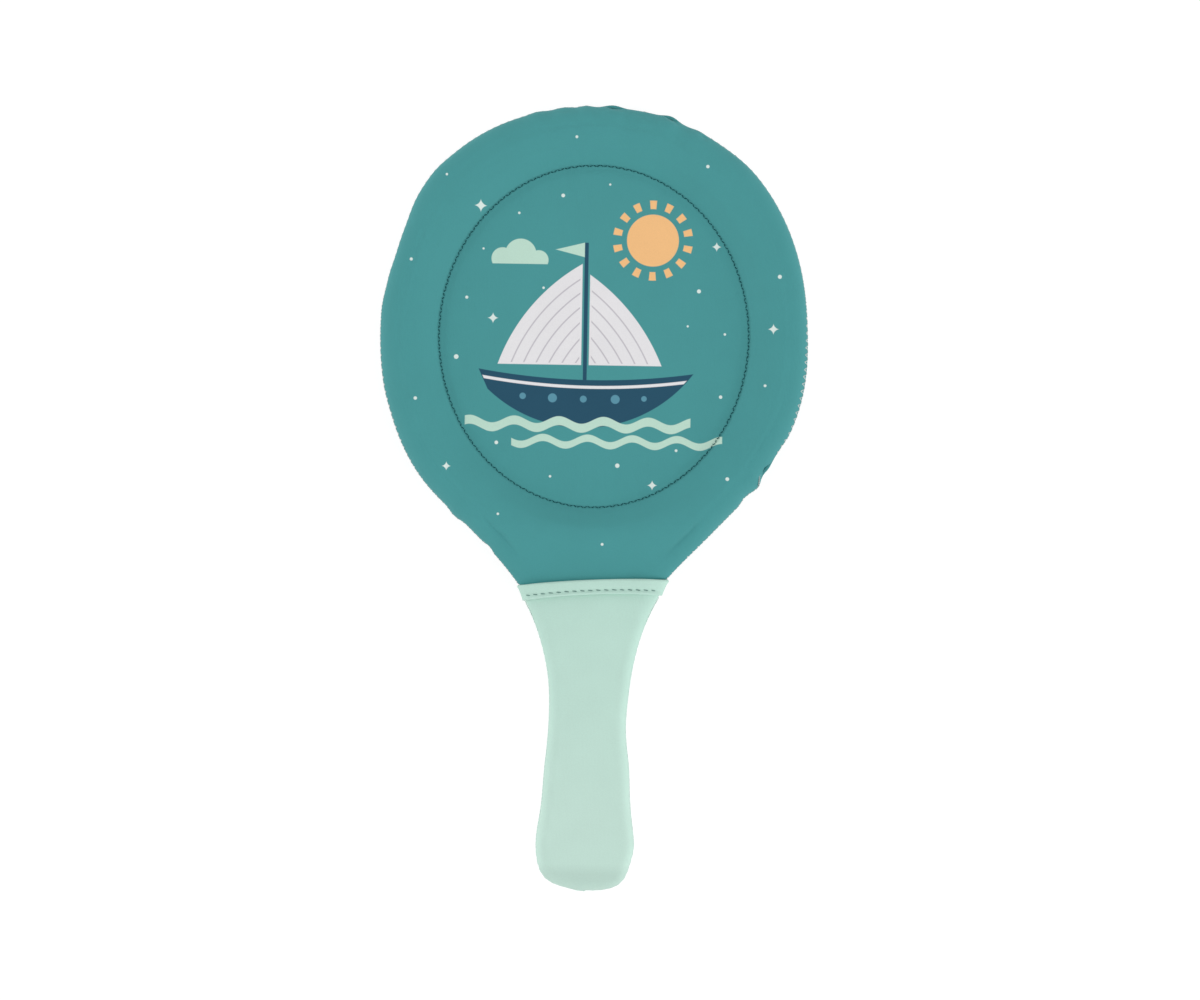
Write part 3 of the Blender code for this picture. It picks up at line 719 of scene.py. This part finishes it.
        # The row of stitches presses the cuff in, most at each stitch's ends, and the hem swells beside it
        press = self.stitch_press * math.exp(-((depth - sewing.cuff_row) / (0.8 * MM)) ** 2)
        press *= 0.75 + 0.25 * np.cos(math.tau * row[:, 0] / sewing.cuff_stitch)
        row[:, 2] += self.hem_swell * math.exp(-((depth - shape.cuff_depth + 0.7 * MM) / (0.6 * MM)) ** 2) - press
        return row

    def body_rows(self):
        """Rows from the fold down to the heel."""
        rows = [self.row(along) for along in np.linspace(self.top, self.shape.heel_place, self.body_steps)]
        for row in rows:
            row[:, 2] += self.slack(row)
        return rows

    def end_spokes(self, hub):
        """Rows round the handle's end, from the joint over the rounding and in to the hub, right to left."""
        heel = self.edge.distance_at(self.shape.heel_place)
        end = self.edge.lengths[-1]
        right = np.linspace(heel, end, self.end_steps + 1)[1:]
        spokes = []
        for distance in np.concatenate((right, -right[-2::-1])):
            rim = self.rim(distance)
            spoke = np.linspace(rim[-1], hub, self.half_columns + 1)[1:-1]
            spokes.append(np.concatenate((rim, spoke)))
        return spokes

    def slack(self, row):
        """Slow waves in the sleeve's face."""
        across, along = row[:, 0] / MM, row[:, 1] / MM
        wave = np.sin(along / 9.1 + across / 31) * 0.08 + np.sin(along / 5.3 - across / 17 + 1.2) * 0.04
        heel = self.shape.heel_place
        fade = ease(row[:, 2], 3 * MM, 6 * MM) * ease(row[:, 1], heel, heel + 12 * MM)
        return wave * fade * (1 - ease(row[:, 1], -66 * MM, -56 * MM)) * MM


def make_sleeve(shape, front, material):
    """One half of the sleeve, with its cuff."""
    sleeve = Sleeve(shape)
    sheet = Sheet()
    body = []
    for row in sleeve.body_rows():
        thin = (1 - sleeve.thinned) * ease(row[:, 1], shape.cuff_top - 24 * MM, shape.cuff_top - 12 * MM)
        body.append(sheet.row(row, sleeve.girth(row), 1 - thin))
    turned = [sheet.row(row, sleeve.girth(row), sleeve.thinned) for row in sleeve.cuff_rows()]
    rows = body[::-1] + turned
    for one, two in zip(rows, rows[1:]):
        sheet.loft(one, two)
    middle = sleeve.rim_rows + sleeve.half_columns - 1
    heel = body[-1]
    hub = heel[middle]
    spokes = [sheet.row(spoke) for spoke in sleeve.end_spokes(np.array(hub.co))]
    spokes = [heel[:middle]] + spokes + [heel[:middle:-1]]
    for one, two in zip(spokes, spokes[1:]):
        sheet.loft(two, one)
        sheet.mesh.faces.new((two[-1], one[-1], hub))
    node = f"sleeve_{'front' if front else 'back'}_panel"
    put_on(sheet, front, "sleeve", node, material, shape.sleeve_wall, True)


def spin(name, paths, radius, pitch, closed=False):
    """Twisted thread along paths of points: three strands' worth of lobes that turn as they go."""
    sides = 6
    wide = np.where(np.arange(sides) % 2, 1.06, 0.82) * radius
    verts, faces = [], []
    for path in paths:
        count = len(path)
        way = unit(np.roll(path, -1, axis=0) - np.roll(path, 1, axis=0) if closed else np.gradient(path, axis=0))
        up = np.where(np.abs(way[:, 2:]) > 0.9, (0.6, 0.8, 0.0), (0.0, 0.0, 1.0))
        beside = unit(np.cross(way, up))
        over = np.cross(beside, way)
        angle = math.tau * (running(path) / pitch)[:, None] + math.tau * np.arange(sides) / sides
        lobe = (beside[:, None] * np.cos(angle)[..., None] + over[:, None] * np.sin(angle)[..., None]) * wide[:, None]
        base = len(verts)
        verts += list((path[:, None] + lobe).reshape(-1, 3))
        for index in range(count if closed else count - 1):
            one = base + index * sides
            two = base + (index + 1) % count * sides
            for side in range(sides):
                after = (side + 1) % sides
                faces.append((one + side, two + side, two + after, one + after))
        if not closed:
            faces.append([base + side for side in range(sides)])
            faces.append([base + (count - 1) * sides + side for side in reversed(range(sides))])
    mesh = bpy.data.meshes.new(name)
    mesh.from_pydata(verts, [], faces)
    mesh.update()
    mesh.shade_smooth()
    return mesh


def lay_threads(kind, slot, node, paths, radius, pitch, hue, closed=False):
    """Thread over the front and over the back, from its paths over the front."""
    material = thread_finish(slot, hue)
    for side, turn in (("front", 1), ("back", -1)):
        laid = [path[::turn] * (1, 1, turn) + (0, 0, REST_HEIGHT) for path in paths]
        settle(f"{kind}_{side}", spin(kind, laid, radius, pitch, closed), material, [node.format(side)])


def operation(kind, reflected=False):
    """Method that puts a number through a Math node together with another one, after it if reflected."""
    return lambda self, other: self.math(kind, *((other, self) if reflected else (self, other)))


class Number:
    """A number socket that takes part in sums."""

    def __init__(self, finish, socket):
        self.finish = finish
        self.socket = socket

    def math(self, kind, *terms):
        node = self.finish.add("ShaderNodeMath", {"operation": kind}, dict(enumerate(terms)))
        return Number(self.finish, node.outputs[0])

    __add__ = operation("ADD")
    __radd__ = operation("ADD", reflected=True)
    __sub__ = operation("SUBTRACT")
    __rsub__ = operation("SUBTRACT", reflected=True)
    __mul__ = operation("MULTIPLY")
    __mod__ = operation("FLOORED_MODULO")
    # Inside both shapes, and inside either one
    __and__ = operation("MAXIMUM")
    __or__ = operation("MINIMUM")

    def __neg__(self):
        return self * -1.0

    def __abs__(self):
        return self.math("ABSOLUTE", self)

    def sine(self):
        return self.math("SINE", self)


class Finish:
    """The nodes of one material."""

    def __init__(self, name, **constants):
        self.material = bpy.data.materials.new(name)
        self.material.use_nodes = True
        self.tree = self.material.node_tree
        self.shader = self.tree.nodes["Principled BSDF"]
        for socket, value in constants.items():
            self.shader.inputs[socket.replace("_", " ")].default_value = value

    def add(self, kind, settings=None, inputs=None):
        node = self.tree.nodes.new(kind)
        for name, value in (settings or {}).items():
            setattr(node, name, value)
        for name, value in (inputs or {}).items():
            self.feed(node.inputs[name], value)
        return node

    def feed(self, socket, value):
        if isinstance(value, Number):
            value = value.socket
        if isinstance(value, bpy.types.NodeSocket):
            self.tree.links.new(value, socket)
        elif socket.type == "RGBA":
            socket.default_value = (*tuple(value)[:3], 1.0)
        else:
            socket.default_value = value

    def set(self, socket, value):
        self.feed(self.shader.inputs[socket], value)

    def place(self):
        return self.add("ShaderNodeTexCoord").outputs["Object"]

    def part(self, vector, axis):
        return Number(self, self.add("ShaderNodeSeparateXYZ", {}, {0: vector}).outputs[axis])

    def vector(self, operation, *terms):
        return self.add("ShaderNodeVectorMath", {"operation": operation}, dict(enumerate(terms)))

    def noise(self, vector, scale, detail=2.0):
        node = self.add("ShaderNodeTexNoise", {}, {"Vector": vector, "Scale": scale, "Detail": detail})
        return Number(self, node.outputs["Fac"])

    def mix(self, share, one, two):
        """Colour two over colour one."""
        return self.add("ShaderNodeMix", {"data_type": "RGBA"}, {0: share, 6: one, 7: two}).outputs[2]

    def shade(self, base, factor):
        """Colour times a number."""
        return self.add("ShaderNodeVectorMath", {"operation": "SCALE"}, {0: base, "Scale": factor}).outputs[0]

    def ramp(self, value, start, stop, first, last):
        """Goes from first to last as the value goes from start to stop."""
        node = self.add("ShaderNodeMapRange", {}, {"Value": value, 1: start, 2: stop, 3: first, 4: last})
        return Number(self, node.outputs[0])

    def relief(self, strength, distance, height):
        bump = self.add("ShaderNodeBump", {}, {"Strength": strength, "Distance": distance, "Height": height})
        self.set("Normal", bump.outputs[0])


class Motif:
    """Shapes of the print, as distances in millimetres from a middle point, below 0 inside."""

    soft = 0.3

    def __init__(self, finish, ground, middle):
        self.finish = finish
        self.ground = ground
        moved = finish.vector("SUBTRACT", finish.place(), (0.0, middle, 0.0)).outputs[0]
        self.spot = finish.vector("MULTIPLY", moved, (1 / MM, 1 / MM, 0.0)).outputs[0]
        self.x = finish.part(self.spot, 0)
        self.y = finish.part(self.spot, 1)

    def ink(self, depth, hue):
        """Prints a shape in a colour over what is there."""
        inside = self.finish.ramp(depth, -self.soft / 2, self.soft / 2, 1.0, 0.0)
        self.ground = self.finish.mix(inside, self.ground, hue)

    def far(self, x, y):
        node = self.finish.vector("DISTANCE", self.spot, (x, y, 0.0))
        return Number(self.finish, node.outputs["Value"])

    def disc(self, x, y, radius):
        return self.far(x, y) - radius

    def beyond(self, one, two):
        """Distance over to the left of the line from one to two."""
        way = Vector((two[0] - one[0], two[1] - one[1])).normalized()
        node = self.finish.vector("DOT_PRODUCT", self.spot, (-way.y, way.x, 0.0))
        return Number(self.finish, node.outputs["Value"]) - (way.x * one[1] - way.y * one[0])

    def bowed(self, one, two, bulge):
        """Inside of an arc that bulges to the left of the line from one to two."""
        start, stop = Vector(one), Vector(two)
        half = (stop - start).length / 2
        radius = (half ** 2 + bulge ** 2) / (2 * bulge)
        way = (stop - start).normalized()
        centre = (start + stop) / 2 - Vector((-way.y, way.x)) * (radius - bulge)
        return self.disc(centre.x, centre.y, radius)

    def glint(self, x, y, reach):
        """Four-pointed glint."""
        across = abs(self.x - x).math("POWER", abs(self.x - x), 0.62)
        along = abs(self.y - y).math("POWER", abs(self.y - y), 0.62)
        return across + along - reach ** 0.62


# Dots of the print, in millimetres from the oval seam's centre: place across, place up, radius
SPECKS = (
    (-36.0, 57.5, 0.58), (-15.5, 66.0, 0.86), (6.5, 71.5, 0.5), (49.0, 22.0, 0.94), (61.5, 2.0, 0.58),
    (-60.0, 17.5, 0.72), (-64.5, -10.5, 1.08), (-45.0, -50.5, 0.86), (-19.5, -66.0, 0.58), (12.0, -60.5, 1.01),
    (39.5, -53.0, 0.65), (60.0, -27.5, 0.79), (-52.5, 40.5, 0.5), (-24.0, 22.5, 0.58), (44.0, 5.5, 0.5),
    (-86.0, 34.5, 0.72), (-70.0, 74.5, 0.58), (-9.5, 93.0, 0.65), (52.0, 80.0, 0.79), (86.5, 29.0, 0.94),
    (80.5, -22.0, 0.65), (63.5, -66.0, 0.86), (5.5, -97.5, 0.65), (-43.5, -84.0, 0.58), (-83.0, -30.5, 0.79),
)
# Its glints, from the same centre: place across, place up, reach
GLINTS = (
    (-54.0, 60.5, 3.0), (57.0, 43.0, 2.3), (-47.5, 8.0, 2.6), (28.5, -69.5, 2.4), (84.0, 4.5, 2.6), (-68.0, -62.0, 2.2),
)


def print_motif(finish, colours, ground, middle):
    """Sailing boat on waves under a sun, with scattered dots and glints, printed over the ground colour."""
    motif = Motif(finish, ground, middle)
    x, y, ink = motif.x, motif.y, motif.ink

    specks = motif.disc(*SPECKS[0])
    for speck in SPECKS[1:]:
        specks = specks | motif.disc(*speck)
    for glint in GLINTS:
        specks = specks | motif.glint(*glint)
    ink(specks, colours.dot)

    # Sun with wedge rays
    from_sun = motif.far(27.0, 45.5)
    angle = (y - 45.5).math("ARCTAN2", y - 45.5, x - 27.0)
    wedge = abs((angle * (14 / math.tau)) % 1.0 - 0.5) - 0.2
    rays = (wedge * from_sun * (math.tau / 14)) & (from_sun - 18.8) & (14.8 - from_sun)
    ink((from_sun - 12.2) | rays, colours.peach)

    # Cloud
    cloud = motif.disc(-43.5, 36.0, 5.2) | motif.disc(-35.0, 38.0, 7.4) | motif.disc(-26.5, 35.5, 4.6)
    ink(cloud & (33.6 - y), colours.mint)

    # Mast, pennant and sails
    ink((abs(x + 4.0) - 0.9) & (y - 44.0) & (-24.0 - y), colours.navy)
    pennant = motif.beyond((-18.5, 40.6), (-4.9, 44.0)) & motif.beyond((-4.9, 37.2), (-18.5, 40.6))
    ink(pennant & (x + 4.9), colours.mint)
    for mast, foot, head, clew, bulge in (
        (-5.8, -13.5, 34.0, -45.0, 5.5),
        (-2.2, -13.5, 29.0, 32.0, 4.0),
    ):
        left = clew < mast
        luff = (x - mast) if left else (mast - x)
        ends = ((clew, foot), (mast, head))
        leech = motif.bowed(*(ends if left else ends[::-1]), bulge)
        sail = luff & leech & (foot - y)
        ink(sail, colours.sail)
        stripes = abs((-leech + 1.2) % 5.4 - 1.5) - 0.32
        ink(stripes & (sail + 0.9), colours.pinstripe)

    # Hull with a pale band and portholes
    deck = y - x * x * 0.0016 + 20.5
    hull = motif.disc(-5.0, 22.0, 65.0) & deck & motif.beyond((-41.0, -44.0), (-52.0, -20.0))
    ink(hull, colours.navy)
    ink(abs(deck + 3.4) - 0.7 & (hull + 0.4), colours.sail)
    for across, radius in ((-33.0, 1.5), (-19.0, 2.1), (-4.5, 1.6), (10.5, 2.1), (24.0, 1.3)):
        ink(motif.disc(across, -29.5 + across * across * 0.001, radius), colours.sky)

    # Waves
    for start, stop, level, thick, phase in ((-60.0, 46.0, -41.5, 2.1, 0.0), (-38.0, 61.0, -49.5, 1.7, 2.2)):
        swell = (x * (math.tau / 21) + phase).sine() * 1.7
        reach = abs(x - (start + stop) / 2) - (stop - start) / 2
        ink((abs(y - level - swell) - thick) & reach, colours.mint)
    return motif.ground


def knit(finish, pitch):
    """Height of a fine jersey knit, in the cut's own directions."""
    cut = finish.add("ShaderNodeAttribute", {"attribute_name": "cut"}).outputs["Vector"]
    across = finish.part(cut, 0) * (1 / pitch)
    along = finish.part(cut, 1) * (1 / (pitch * 0.8))
    column = abs(across % 1.0 - 0.5)
    row = ((along + column * 1.2) * math.tau).sine()
    return (column * math.pi).sine() * 0.7 + row * 0.3


def fade_down(finish, base, low):
    """Another colour towards the heel, and painted shade that darkens the last few millimetres at the end."""
    along = finish.part(finish.place(), 1)
    base = finish.mix(finish.ramp(along, -50 * MM, -150 * MM, 0.0, 1.0), base, low)
    # Painted shade: the colour falls to nine tenths over the last few millimetres of the handle's end
    return finish.shade(base, finish.ramp(along, -171.5 * MM, -176.5 * MM, 1.0, 0.9))


def neoprene(name, base, dye=None):
    """Knit-faced neoprene: a soft, slightly mottled face, with a fine knit and a little fuzz.

    overlay puts other colours over the base: the print on the cover, and on the sleeve a colour fade with painted shade
    at the handle's end.
    """
    finish = Finish(name, Specular_IOR_Level=0.2, Sheen_Weight=0.1, Sheen_Roughness=0.45)
    fine = finish.noise(finish.place(), 1500.0)
    broad = finish.noise(finish.place(), 55.0, 3.0)
    if dye:
        base = dye(finish, base)
    finish.set("Base Color", finish.shade(base, 1.0 + (fine - 0.5) * 0.10 + (broad - 0.5) * 0.07))
    finish.set("Roughness", 0.74 + (fine - 0.5) * 0.16)
    finish.relief(0.3, 0.12 * MM, knit(finish, 0.62 * MM) * 0.6 + fine * 0.4)
    return finish.material


def grained(name, base, scale, tone, rough, strength, **constants):
    """Even material with a fine grain; tone and rough each give the least value and the grain's share."""
    finish = Finish(name, **constants)
    grain = finish.noise(finish.place(), scale)
    finish.set("Base Color", finish.shade(base, tone[0] + grain * tone[1]))
    finish.set("Roughness", rough[0] + grain * rough[1])
    finish.relief(strength, 0.05 * MM, grain)
    return finish.material


def thread_finish(name, base):
    """Polyester thread with fine fibres."""
    return grained(name, base, 5200.0, (0.9, 0.2), (0.5, 0.15), 0.3, Specular_IOR_Level=0.1, Sheen_Weight=0.02)


class PADDLE_OT_frame(bpy.types.Operator):
    """Finish the moulded hoop frame, which stays as the solid has it"""

    bl_idname = "paddle.frame"
    bl_label = "Hoop frame"

    def execute(self, context):
        plastic = context.scene.beach_paddle.colours.plastic
        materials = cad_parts["hoop_frame"].data.materials
        materials.clear()
        materials.append(
            grained("moulded_plastic", plastic, 2400.0, (0.95, 0.1), (0.42, 0.16), 0.2, Specular_IOR_Level=0.5)
        )
        return {"FINISHED"}


class PADDLE_OT_cover(bpy.types.Operator):
    """Sew the front and back panels of the cover over the hoop"""

    bl_idname = "paddle.cover"
    bl_label = "Cover"

    def execute(self, context):
        shape, colours = context.scene.beach_paddle.shape, context.scene.beach_paddle.colours

        def dye(finish, ground):
            return print_motif(finish, colours, ground, shape.seam_centre)

        make_cover(shape, True, neoprene("printed_neoprene", colours.cover, dye))
        make_cover(shape, False, neoprene("teal_neoprene", colours.cover))
        return {"FINISHED"}


class PADDLE_OT_sleeve(bpy.types.Operator):
    """Pull the two halves of the mint sleeve over the handle"""

    bl_idname = "paddle.sleeve"
    bl_label = "Handle sleeve"

    def execute(self, context):
        shape, colours = context.scene.beach_paddle.shape, context.scene.beach_paddle.colours

        # A colour fade towards the heel, with painted shade at the handle's end
        def dye(finish, base):
            return fade_down(finish, base, colours.sleeve_low)

        mint = neoprene("mint_neoprene", colours.sleeve, dye)
        make_sleeve(shape, True, mint)
        make_sleeve(shape, False, mint)
        return {"FINISHED"}


class PADDLE_OT_face_seams(bpy.types.Operator):
    """Zigzag round the oval where the two panels are sewn together, front and back"""

    bl_idname = "paddle.face_seams"
    bl_label = "Oval seam"
    # Unevenness of the holes' places along the line and across it
    scatter_along = 0.06 * MM
    scatter_across = 0.05 * MM

    def execute(self, context):
        settings = context.scene.beach_paddle
        shape, sewing = settings.shape, settings.sewing
        half = np.array([shape.seam_half_width, shape.seam_half_height])
        turns = np.linspace(0, math.tau, 2001)
        run = running(np.column_stack((np.sin(turns), np.cos(turns))) * half)
        count = 2 * round(run[-1] / sewing.face_stitch / 2)
        random = np.random.default_rng(3)
        spots = np.arange(count) * run[-1] / count + random.normal(0, self.scatter_along, count)
        turn = np.interp(spots % run[-1], run, turns)
        swing = by_turns(count) * sewing.face_swing + random.normal(0, self.scatter_across, count)
        way = np.column_stack((np.sin(turn), np.cos(turn)))
        plan = np.array([0.0, shape.seam_centre]) + way * half + unit(way / half) * swing[:, None]
        floor = shape.cover_wall + shape.butt_gap / 2 - shape.seam_press
        holes = np.column_stack((plan, np.full(count, floor)))
        radius = sewing.face_thread / 2
        steps = 9
        path = between(np.vstack((holes, holes[:1])), steps)
        path[:, 2] += np.tile(thread_lift(steps, radius, 0.95 * MM, 1.3, 0.1 * MM), count)
        lay_threads(
            "oval_seam", "face_thread", "face_seam_{}_thread", [path], radius, sewing.twist_pitch,
            settings.colours.face_thread, closed=True,
        )
        return {"FINISHED"}


class PADDLE_OT_edge_seam(bpy.types.Operator):
    """Pale zigzag that joins the panels over the blade's edge, with its loose end"""

    bl_idname = "paddle.edge_seam"
    bl_label = "Edge seam"
    # Unevenness of the holes' places along the edge and up it
    scatter_along = 0.08 * MM
    scatter_up = 0.12 * MM
    # How deep the thread sinks into a tucked fold, and how much of its swing it loses there
    sink = 1.6 * MM
    stilled = 0.7
    # Distance along the edge at which the loose end starts, how far it runs, and how far up the edge it lies
    loose_start = 234.5
    loose_run = 7.0
    loose_up = 5.2

    def execute(self, context):
        settings = context.scene.beach_paddle
        shape, sewing = settings.shape, settings.sewing
        cover = Cover(shape, True)
        stop = cover.edge.distance_at(shape.cuff_top - 3 * MM)
        count = round(2 * stop / sewing.edge_stitch)
        random = np.random.default_rng(11)
        distance = np.linspace(-stop, stop, count + 1) + random.normal(0, self.scatter_along, count + 1)
        swing = by_turns(count + 1) * sewing.edge_swing * (1 - self.stilled * self.sunk(distance))
        up = cover.joint(distance) + swing + random.normal(0, self.scatter_up, count + 1)
        radius = sewing.thread / 2
        steps = 12
        distance = between(distance, steps)
        lift = np.tile(thread_lift(steps, 0.06 * MM, 0.4 * MM, 8), count) - self.sink * self.sunk(distance)
        laid = [(distance, between(up, steps), lift)]
        # The loose end lies out over the edge, below the place where the joint stands open
        along = np.linspace(0, 1, 9)
        for beside in (0.0, 0.7):
            far = self.loose_start + (self.loose_run - beside) * along
            up = self.loose_up - 1.2 * along + np.sin(3 * along) * 0.5 + beside
            laid.append((far * MM, up * MM, radius + (0.9 * along - 0.5) * MM))
        paths = []
        for distance, up, lift in laid:
            spots, ways = cover.climb(distance, up)
            paths.append(spots + ways * lift[:, None] + (0, 0, REST_HEIGHT))
        mesh = spin("edge_seam", paths, radius, sewing.twist_pitch)
        material = thread_finish("edge_thread", settings.colours.edge_thread)
        settle("edge_seam", mesh, material, ["edge_seam_thread"])
        return {"FINISHED"}

    @staticmethod
    def sunk(distance):
        """1 where the thread sinks into a tucked fold."""
        return np.clip(lobes(TUCKED, distance) / (1.5 * MM), 0, 1)


class PADDLE_OT_cuff_stitching(bpy.types.Operator):
    """Running stitch that holds the cuff down, front and back"""

    bl_idname = "paddle.cuff_stitching"
    bl_label = "Cuff stitching"
    # Share of a stitch's step that the thread lies on top, and how far it slants
    on_top = 0.62
    slant = 0.35 * MM

    def execute(self, context):
        settings = context.scene.beach_paddle
        sewing = settings.sewing
        radius = sewing.cuff_thread / 2
        row = Sleeve(settings.shape).turned(sewing.cuff_row)
        normal = unit(square_off(row))
        run = running(row)
        start, stop = run[5], run[len(row) - 4]
        count = round((stop - start) / sewing.cuff_stitch)
        stitch = (stop - start) / count
        share = np.linspace(0, 1, 10)
        lift = radius + 0.05 * MM - 0.75 * MM * (1 - np.sin(math.pi * share)) ** 4
        paths = []
        for index in range(count):
            spots = start + (index + self.on_top * share) * stitch
            path = sample(spots, run, row) + sample(spots, run, normal) * lift[:, None]
            path[:, 1] += (share - 0.5) * self.slant
            paths.append(path)
        # The thread's darker grey teal colour is painted shade over a mint thread
        lay_threads(
            "cuff_stitches", "cuff_thread", "cuff_{}_thread", paths, radius, sewing.twist_pitch,
            settings.colours.cuff_thread,
        )
        return {"FINISHED"}


class PADDLE_OT_side_seam(bpy.types.Operator):
    """Mint zigzag that joins the two halves of the sleeve round the handle"""

    bl_idname = "paddle.side_seam"
    bl_label = "Sleeve seam"

    def execute(self, context):
        settings = context.scene.beach_paddle
        shape, sewing = settings.shape, settings.sewing
        sleeve = Sleeve(shape)
        start = sleeve.edge.distance_at(shape.cuff_top - shape.cuff_depth - 1.0 * MM)
        end = sleeve.edge.lengths[-1]
        half = round((end - start) / sewing.side_stitch)
        down = np.linspace(start, end, half + 1)
        steps = 10
        distance = np.concatenate((between(down, steps), between(-down[::-1], steps)))
        swing = between(by_turns(2 * half + 1) * sewing.side_swing, steps)
        lift = np.tile(thread_lift(steps, shape.sleeve_wall + 0.04 * MM, 0.35 * MM, 8), 2 * half)
        path = [sleeve.rim(spot, out, np.array([up]))[0] for spot, out, up in zip(distance, lift, swing)]
        mesh = spin("sleeve_seam", [np.array(path) + (0, 0, REST_HEIGHT)], sewing.thread * 0.42, sewing.twist_pitch)
        settle("sleeve_seam", mesh, thread_finish("sleeve_thread", settings.colours.sleeve), [])
        return {"FINISHED"}


class PADDLE_OT_stage(bpy.types.Operator):
    """Pale floor, soft light and the camera above"""

    bl_idname = "paddle.stage"
    bl_label = "Stage"

    def execute(self, context):
        stage = context.scene.beach_paddle.stage
        scene = context.scene
        scene.view_settings.view_transform = "Standard"
        mesh = bpy.data.meshes.new("floor")
        sheet = bmesh.new()
        bmesh.ops.create_grid(sheet, x_segments=1, y_segments=1, size=stage.floor_size / 2)
        sheet.to_mesh(mesh)
        sheet.free()
        floor = link("floor", mesh)
        mesh.materials.append(self.floor_finish())

        world = bpy.data.worlds.new("studio")
        scene.world = world
        world.use_nodes = True
        tree = world.node_tree
        background = tree.nodes["Background"]
        background.inputs["Color"].default_value = (1.0, 1.0, 1.0, 1.0)
        # White where the camera looks past the floor, and no brighter for the light that falls on the paddle
        strength = tree.nodes.new("ShaderNodeMapRange")
        strength.inputs["To Min"].default_value = stage.sky_light
        tree.links.new(tree.nodes.new("ShaderNodeLightPath").outputs["Is Camera Ray"], strength.inputs["Value"])
        tree.links.new(strength.outputs[0], background.inputs["Strength"])

        for name, strength, towards in (
            ("key_lamp", stage.key_light, (0.85, -0.42, 0.40)),
            ("fill_lamp", stage.fill_light, (-0.93, -0.12, 0.36)),
            ("back_lamp", stage.back_light, (0.0, 0.95, 0.32)),
        ):
            lamp = bpy.data.lights.new(name, "SUN")
            lamp.energy = strength
            lamp.angle = stage.lamp_spread
            link(name, lamp).rotation_euler = Vector(towards).to_track_quat("Z", "Y").to_euler()

        data = bpy.data.cameras.new("camera")
        data.lens = stage.lens
        camera = link("camera", data)
        away = stage.picture_width * stage.lens / data.sensor_width
        camera.location = (stage.aim_across, stage.aim_along, REST_HEIGHT + away)
        camera.rotation_euler = (0.0, 0.0, stage.roll)
        scene.camera = camera
        return {"FINISHED"}

    @staticmethod
    def floor_finish():
        """White floor that the camera sees near white, with the object's shadow."""
        finish = Finish("floor_white", Specular_IOR_Level=0.0, Roughness=1.0)
        finish.set("Base Color", (0.92, 0.92, 0.92))
        seen = finish.add("ShaderNodeLightPath").outputs["Is Camera Ray"]
        white = finish.add("ShaderNodeEmission", {}, {"Color": (1.0, 1.0, 1.0), "Strength": 1.12})
        share = Number(finish, seen) * 0.78
        mixed = finish.add("ShaderNodeMixShader", {}, {0: share, 1: finish.shader.outputs[0], 2: white.outputs[0]})
        output = finish.tree.nodes["Material Output"]
        finish.tree.links.new(mixed.outputs[0], output.inputs["Surface"])
        return finish.material


OPERATORS = (
    PADDLE_OT_stage,
    PADDLE_OT_frame,
    PADDLE_OT_cover,
    PADDLE_OT_sleeve,
    PADDLE_OT_face_seams,
    PADDLE_OT_edge_seam,
    PADDLE_OT_cuff_stitching,
    PADDLE_OT_side_seam,
)


class PADDLE_PT_sidebar(bpy.types.Panel):
    """Operators and settings of the beach paddle"""

    bl_idname = "PADDLE_PT_sidebar"
    bl_label = "Beach paddle"
    bl_space_type = "VIEW_3D"
    bl_region_type = "UI"
    bl_category = "Paddle"

    def draw(self, context):
        column = self.layout.column()
        for operator in OPERATORS:
            column.operator(operator.bl_idname)
        settings = context.scene.beach_paddle
        for group in (settings.shape, settings.sewing, settings.colours, settings.stage):
            box = self.layout.box()
            for name in group.__annotations__:
                box.prop(group, name)


CLASSES = (PaddleShape, PaddleSewing, PaddleColours, PaddleStage, PaddleSettings, *OPERATORS, PADDLE_PT_sidebar)


def register():
    for kind in CLASSES:
        bpy.utils.register_class(kind)
    bpy.types.Scene.beach_paddle = PointerProperty(type=PaddleSettings)


def unregister():
    del bpy.types.Scene.beach_paddle
    for kind in reversed(CLASSES):
        bpy.utils.unregister_class(kind)


def main():
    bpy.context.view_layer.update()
    register()
    for operator in OPERATORS:
        group, name = operator.bl_idname.split(".")
        getattr(getattr(bpy.ops, group), name)()
    bpy.context.view_layer.update()


if __name__ == "__main__":
    main()
